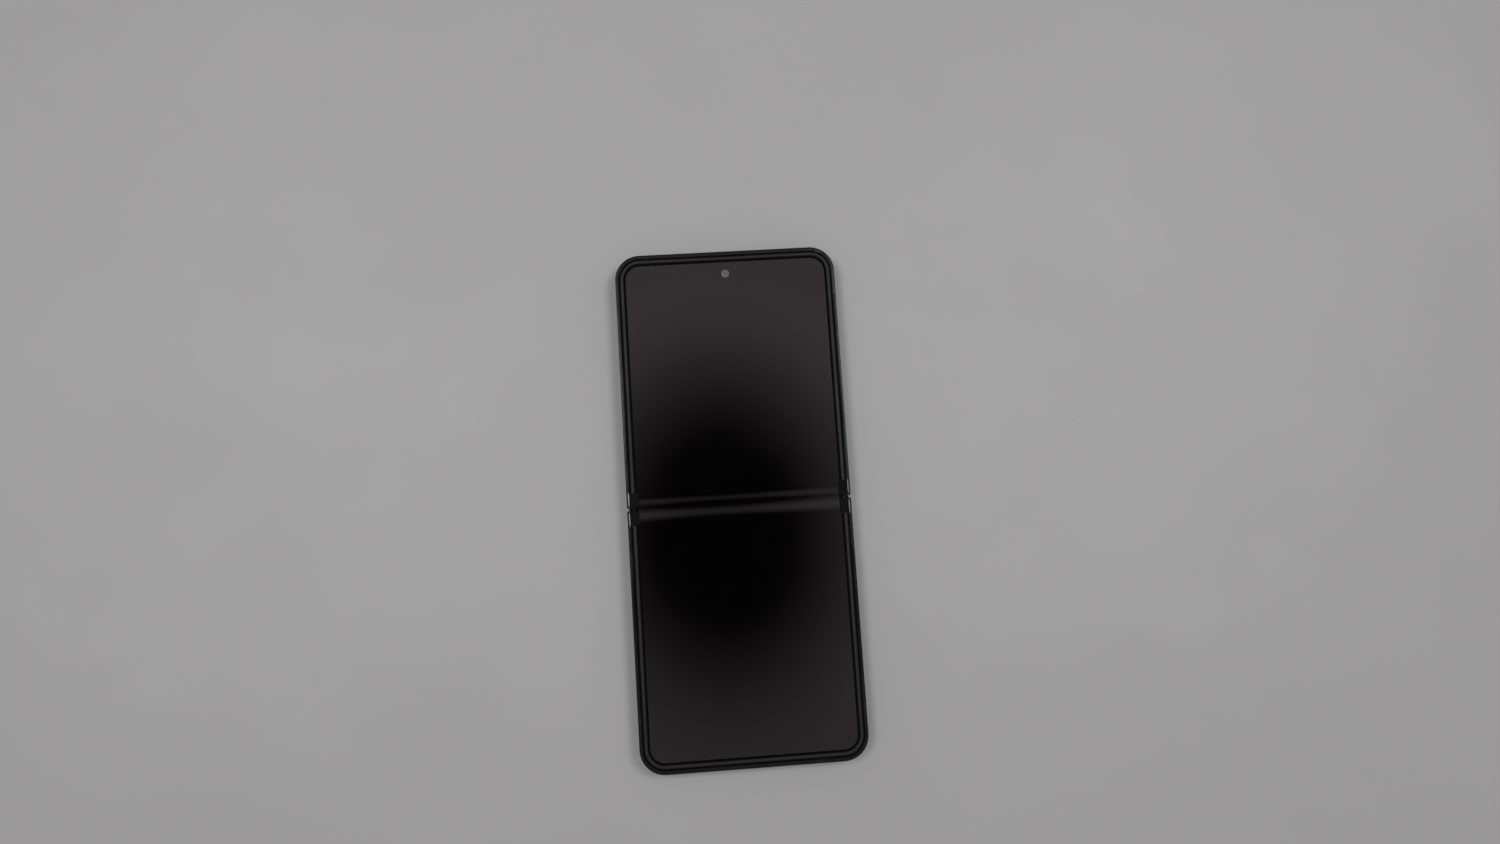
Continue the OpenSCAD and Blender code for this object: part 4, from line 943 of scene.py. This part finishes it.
def makeRearCameras():
    x, half, blockZ = lens["x"], lens["blockHalf"], lens["blockZ"]
    clear, barrel, throat, lip = lens["clear"], lens["barrel"], lens["throat"], lens["lip"]
    mouth, edge = lens["mouthZ"], lens["barrelEdge"]
    bottom = lens["throatZ"] + lens["throatEdge"]
    top = blockZ[0] + lens["overlap"]
    housing, covers, masks, elements = (bmesh.new() for i in range(4))
    for y in lens["ys"]:
        roundedBlock(housing, (x - half, y - half, blockZ[0]), (x + half, y + half, blockZ[1]),
                     lens["blockRadius"])
        lathe(housing, (x, y), [(0, top), (barrel, top), (barrel, mouth + edge), (barrel - edge, mouth),
                                (clear + lip, mouth), (clear, mouth + lens["mouthEdge"]),
                                (throat + lip, lens["throatZ"]), (throat, bottom), (0, bottom)])
        low, high = lens["glass"]
        r, e = lens["radius"] - lens["glassGap"], lens["glassEdge"]
        lathe(covers, (x, y), [(0, low), (r - e, low), (r, low + e), (r, high - e), (r - e, high),
                               (0, high)])
        low, high = lens["maskZ"], lens["maskZ"] + lens["maskHeight"]
        lathe(masks, (x, y), [(clear, low), (lens["radius"], low), (lens["radius"], high), (clear, high),
                              (clear, low)])
        dome = domeProfile(throat, bottom, -lens["bulge"], steps=8)
        lathe(elements, (x, y), dome + [(0, lens["throatZ"] + lens["elementDepth"])])
    meshPiece("camera_housings", housing, "module black", "upper_half", ["rear_cameras"], "module_black")
    meshPiece("lens_covers", covers, "clear glass", "upper_half", ["rear_lens_glass"], "lens_glass")
    bmesh.ops.remove_doubles(masks, verts=masks.verts, dist=mergeDistance)
    meshPiece("lens_masks", masks, "ink black and painted rim shade", "upper_half", slot="module_black")
    meshPiece("lens_elements", elements, "lens coating", "upper_half", slot="lens_glass", angle=60)


def makeFlash():
    bm = bmesh.new()
    low, high = flash["z"]
    r, e, lamp, lampTop = flash["radius"], flash["edge"], flash["lamp"], flash["lampTop"]
    inner, brim = flash["dish"]
    sunk = low + flash["dishDepth"]
    lathe(bm, (lens["x"], flash["y"]), [
        (0, sunk), (r - inner, sunk), (r - brim, low), (r - e, low), (r, low + e), (r, high),
        (lamp, high), (lamp, lampTop), (0, lampTop)])
    meshPiece("flash_window", bm, "flash lens", "upper_half", ["flash_led"], "flash_lens")


makeRearCameras()
makeFlash()
rings = {
    "lens_baffles": {
        "look": "module black", "slot": "module_black",
        "size": {"Count": 6, "First": 2.6, "Step": -0.21, "Climb": 0.13, "Width": 0.1, "Height": 0.05,
                 "Place": (lens["x"], lens["ys"][0], lens["mouthZ"] + 0.12), "Copies": 2,
                 "Next": (0.0, lens["ys"][1] - lens["ys"][0], 0.0)}},
    "flash_ridges": {
        "look": "flash lens", "slot": "flash_lens",
        "size": {"Count": 6, "First": 0.25, "Step": 0.22, "Climb": 0.0, "Width": 0.07, "Height": 0.04,
                 "Place": (lens["x"], flash["y"], flash["z"][0] + 0.035), "Copies": 1,
                 "Next": (0.0, 0.0, 0.0)}},
}
for name, kind in rings.items():
    mesh = tidied(runTree(*makeRingTree(name, kind["look"], kind["size"]), kind["size"]), name)
    dress(name, mesh, None, "upper_half", slot=kind["slot"], angle=50)
print("rear cameras ready")

# front camera: housing, barrel and the pale face in the display hole

front = {
    "half": 3.3,
    "blockRadius": 0.6,
    "blockZ": (3.2, 5.4),
    "overlap": (0.2, 0.05),       # of the block and the barrel, and of the barrel and the face
    "barrel": 2.2,
    "barrelTop": 6.5,
    "barrelEdge": 0.08,
    "face": 1.37,
    "faceTop": 7.06,
    "faceEdge": 0.05,
    "lens": 0.28,
    "lensEdge": 0.04,
    "lensSunk": 0.05,
    "lensFoot": 0.02,             # below the floor of its hole in the face
    "lensBulge": 0.04,
}


def makeFrontCamera():
    half, blockZ, barrel, edge = front["half"], front["blockZ"], front["barrel"], front["barrelEdge"]
    barrelTop, top, centre = front["barrelTop"], front["faceTop"], (0, cameraY)
    bm = bmesh.new()
    roundedBlock(bm, (-half, cameraY - half, blockZ[0]), (half, cameraY + half, blockZ[1]),
                 front["blockRadius"])
    base = blockZ[1] - front["overlap"][0]
    lathe(bm, centre, [(0, base), (barrel, base), (barrel, barrelTop - edge), (barrel - edge, barrelTop),
                       (0, barrelTop)])
    meshPiece("front_camera_form", bm, "module black", "upper_half", ["front_camera"], "module_black")
    face = bmesh.new()
    r, e, pupilRadius = front["face"], front["faceEdge"], front["lens"]
    low, sunk = barrelTop - front["overlap"][1], top - front["lensSunk"]
    lathe(face, centre, [(0, low), (r, low), (r, top - e), (r - e, top),
                         (pupilRadius + front["lensEdge"], top), (pupilRadius, sunk), (0, sunk)])
    meshPiece("front_camera_face", face, "camera face", "upper_half", slot="module_black")
    pupil = bmesh.new()
    foot = sunk - front["lensFoot"]
    dome = domeProfile(pupilRadius, foot, front["lensBulge"], steps=6)
    lathe(pupil, centre, dome + [(0, foot)], segments=32)
    meshPiece("front_camera_lens", pupil, "lens coating", "upper_half", slot="lens_glass", angle=60)


makeFrontCamera()
print("front camera ready")

# metal, glass and keys, merged from the CAD with finer edges

for half in ("upper", "lower"):
    weldedCopy(half + "_frame", "dark_metal", bevel["frame"], "polished edge")
    weldedCopy(half + "_antenna_breaks", "break_plastic")
    weldedCopy(half + "_back_glass", "back_glass")
for node in ("spine_cover", "spine_end_caps", "rear_lens_rings"):
    weldedCopy(node, "dark_metal")
weldedCopy("cover_panel", "back_glass")
for node in ("volume_key", "power_key", "sim_tray"):
    weldedCopy(node, "dark_metal", bevel["keys"], "polished edge")
port = weldedCopy("usb_c_port", "steel", bevel["port"])

# the tongue in the middle of the socket is dark plastic; its faces lie in this box
tongue = {"halfWidth": 3.4, "halfHeight": contacts["Tongue"] / 2 + 0.02, "z": contacts["Place"][2],
          "backY": -76.0}
port.data.materials.append(finishes["module black"])
for face in port.data.polygons:
    x, y, z = face.center / mm
    if (abs(x) < tongue["halfWidth"] and abs(z - tongue["z"]) < tongue["halfHeight"]
            and y < tongue["backY"]):
        face.material_index = 1
print("body ready")

# beside the fold: a polished sliver of each frame that the rim leaves bare, and seals in the gap

sliver = {
    "x": 35.37,
    "halfWidth": 0.14,
    "reach": (0.6, 5.8),          # from the fold line
    "levels": (7.1, 7.235, 7.205),  # its foot, its inner side and its outer side, which tips outward
    "steps": 16,
    "narrowest": 0.02,            # half width, at both pointed ends
}
seal = {"x": (34.2, 35.45), "halfWidth": 0.28, "z": (2.95, 6.2), "radius": 0.2, "edge": 0.05}


def makeEdges(name, side, body):
    bm = bmesh.new()
    near, far = sliver["reach"]
    foot, inner, outer = sliver["levels"]
    for right in (1, -1):
        rings = []
        for i in range(sliver["steps"] + 1):
            share = i / sliver["steps"]
            half = max(sliver["halfWidth"] * math.sqrt(math.sin(math.pi * share)), sliver["narrowest"])
            y = side * (near + (far - near) * share)
            section = ((-half, foot), (-half, inner), (half, outer), (half, foot))
            rings.append([(right * (sliver["x"] + x) * mm, y * mm, z * mm) for x, z in section])
        loftRings(bm, rings)
    meshPiece(name, bm, "bare edge", body, slot="dark_metal")


makeEdges("frame_edges_upper", 1, "upper_half")
makeEdges("frame_edges_lower", -1, "lower_half")
bm = bmesh.new()
for low, high in (seal["x"], (-seal["x"][1], -seal["x"][0])):
    roundedBlock(bm, (low, -seal["halfWidth"], seal["z"][0]), (high, seal["halfWidth"], seal["z"][1]),
                 seal["radius"], seal["edge"])
meshPiece("spine_seals", bm, "ink black and painted rim shade", "spine", slot="soft_rim")
print("fold ends ready")
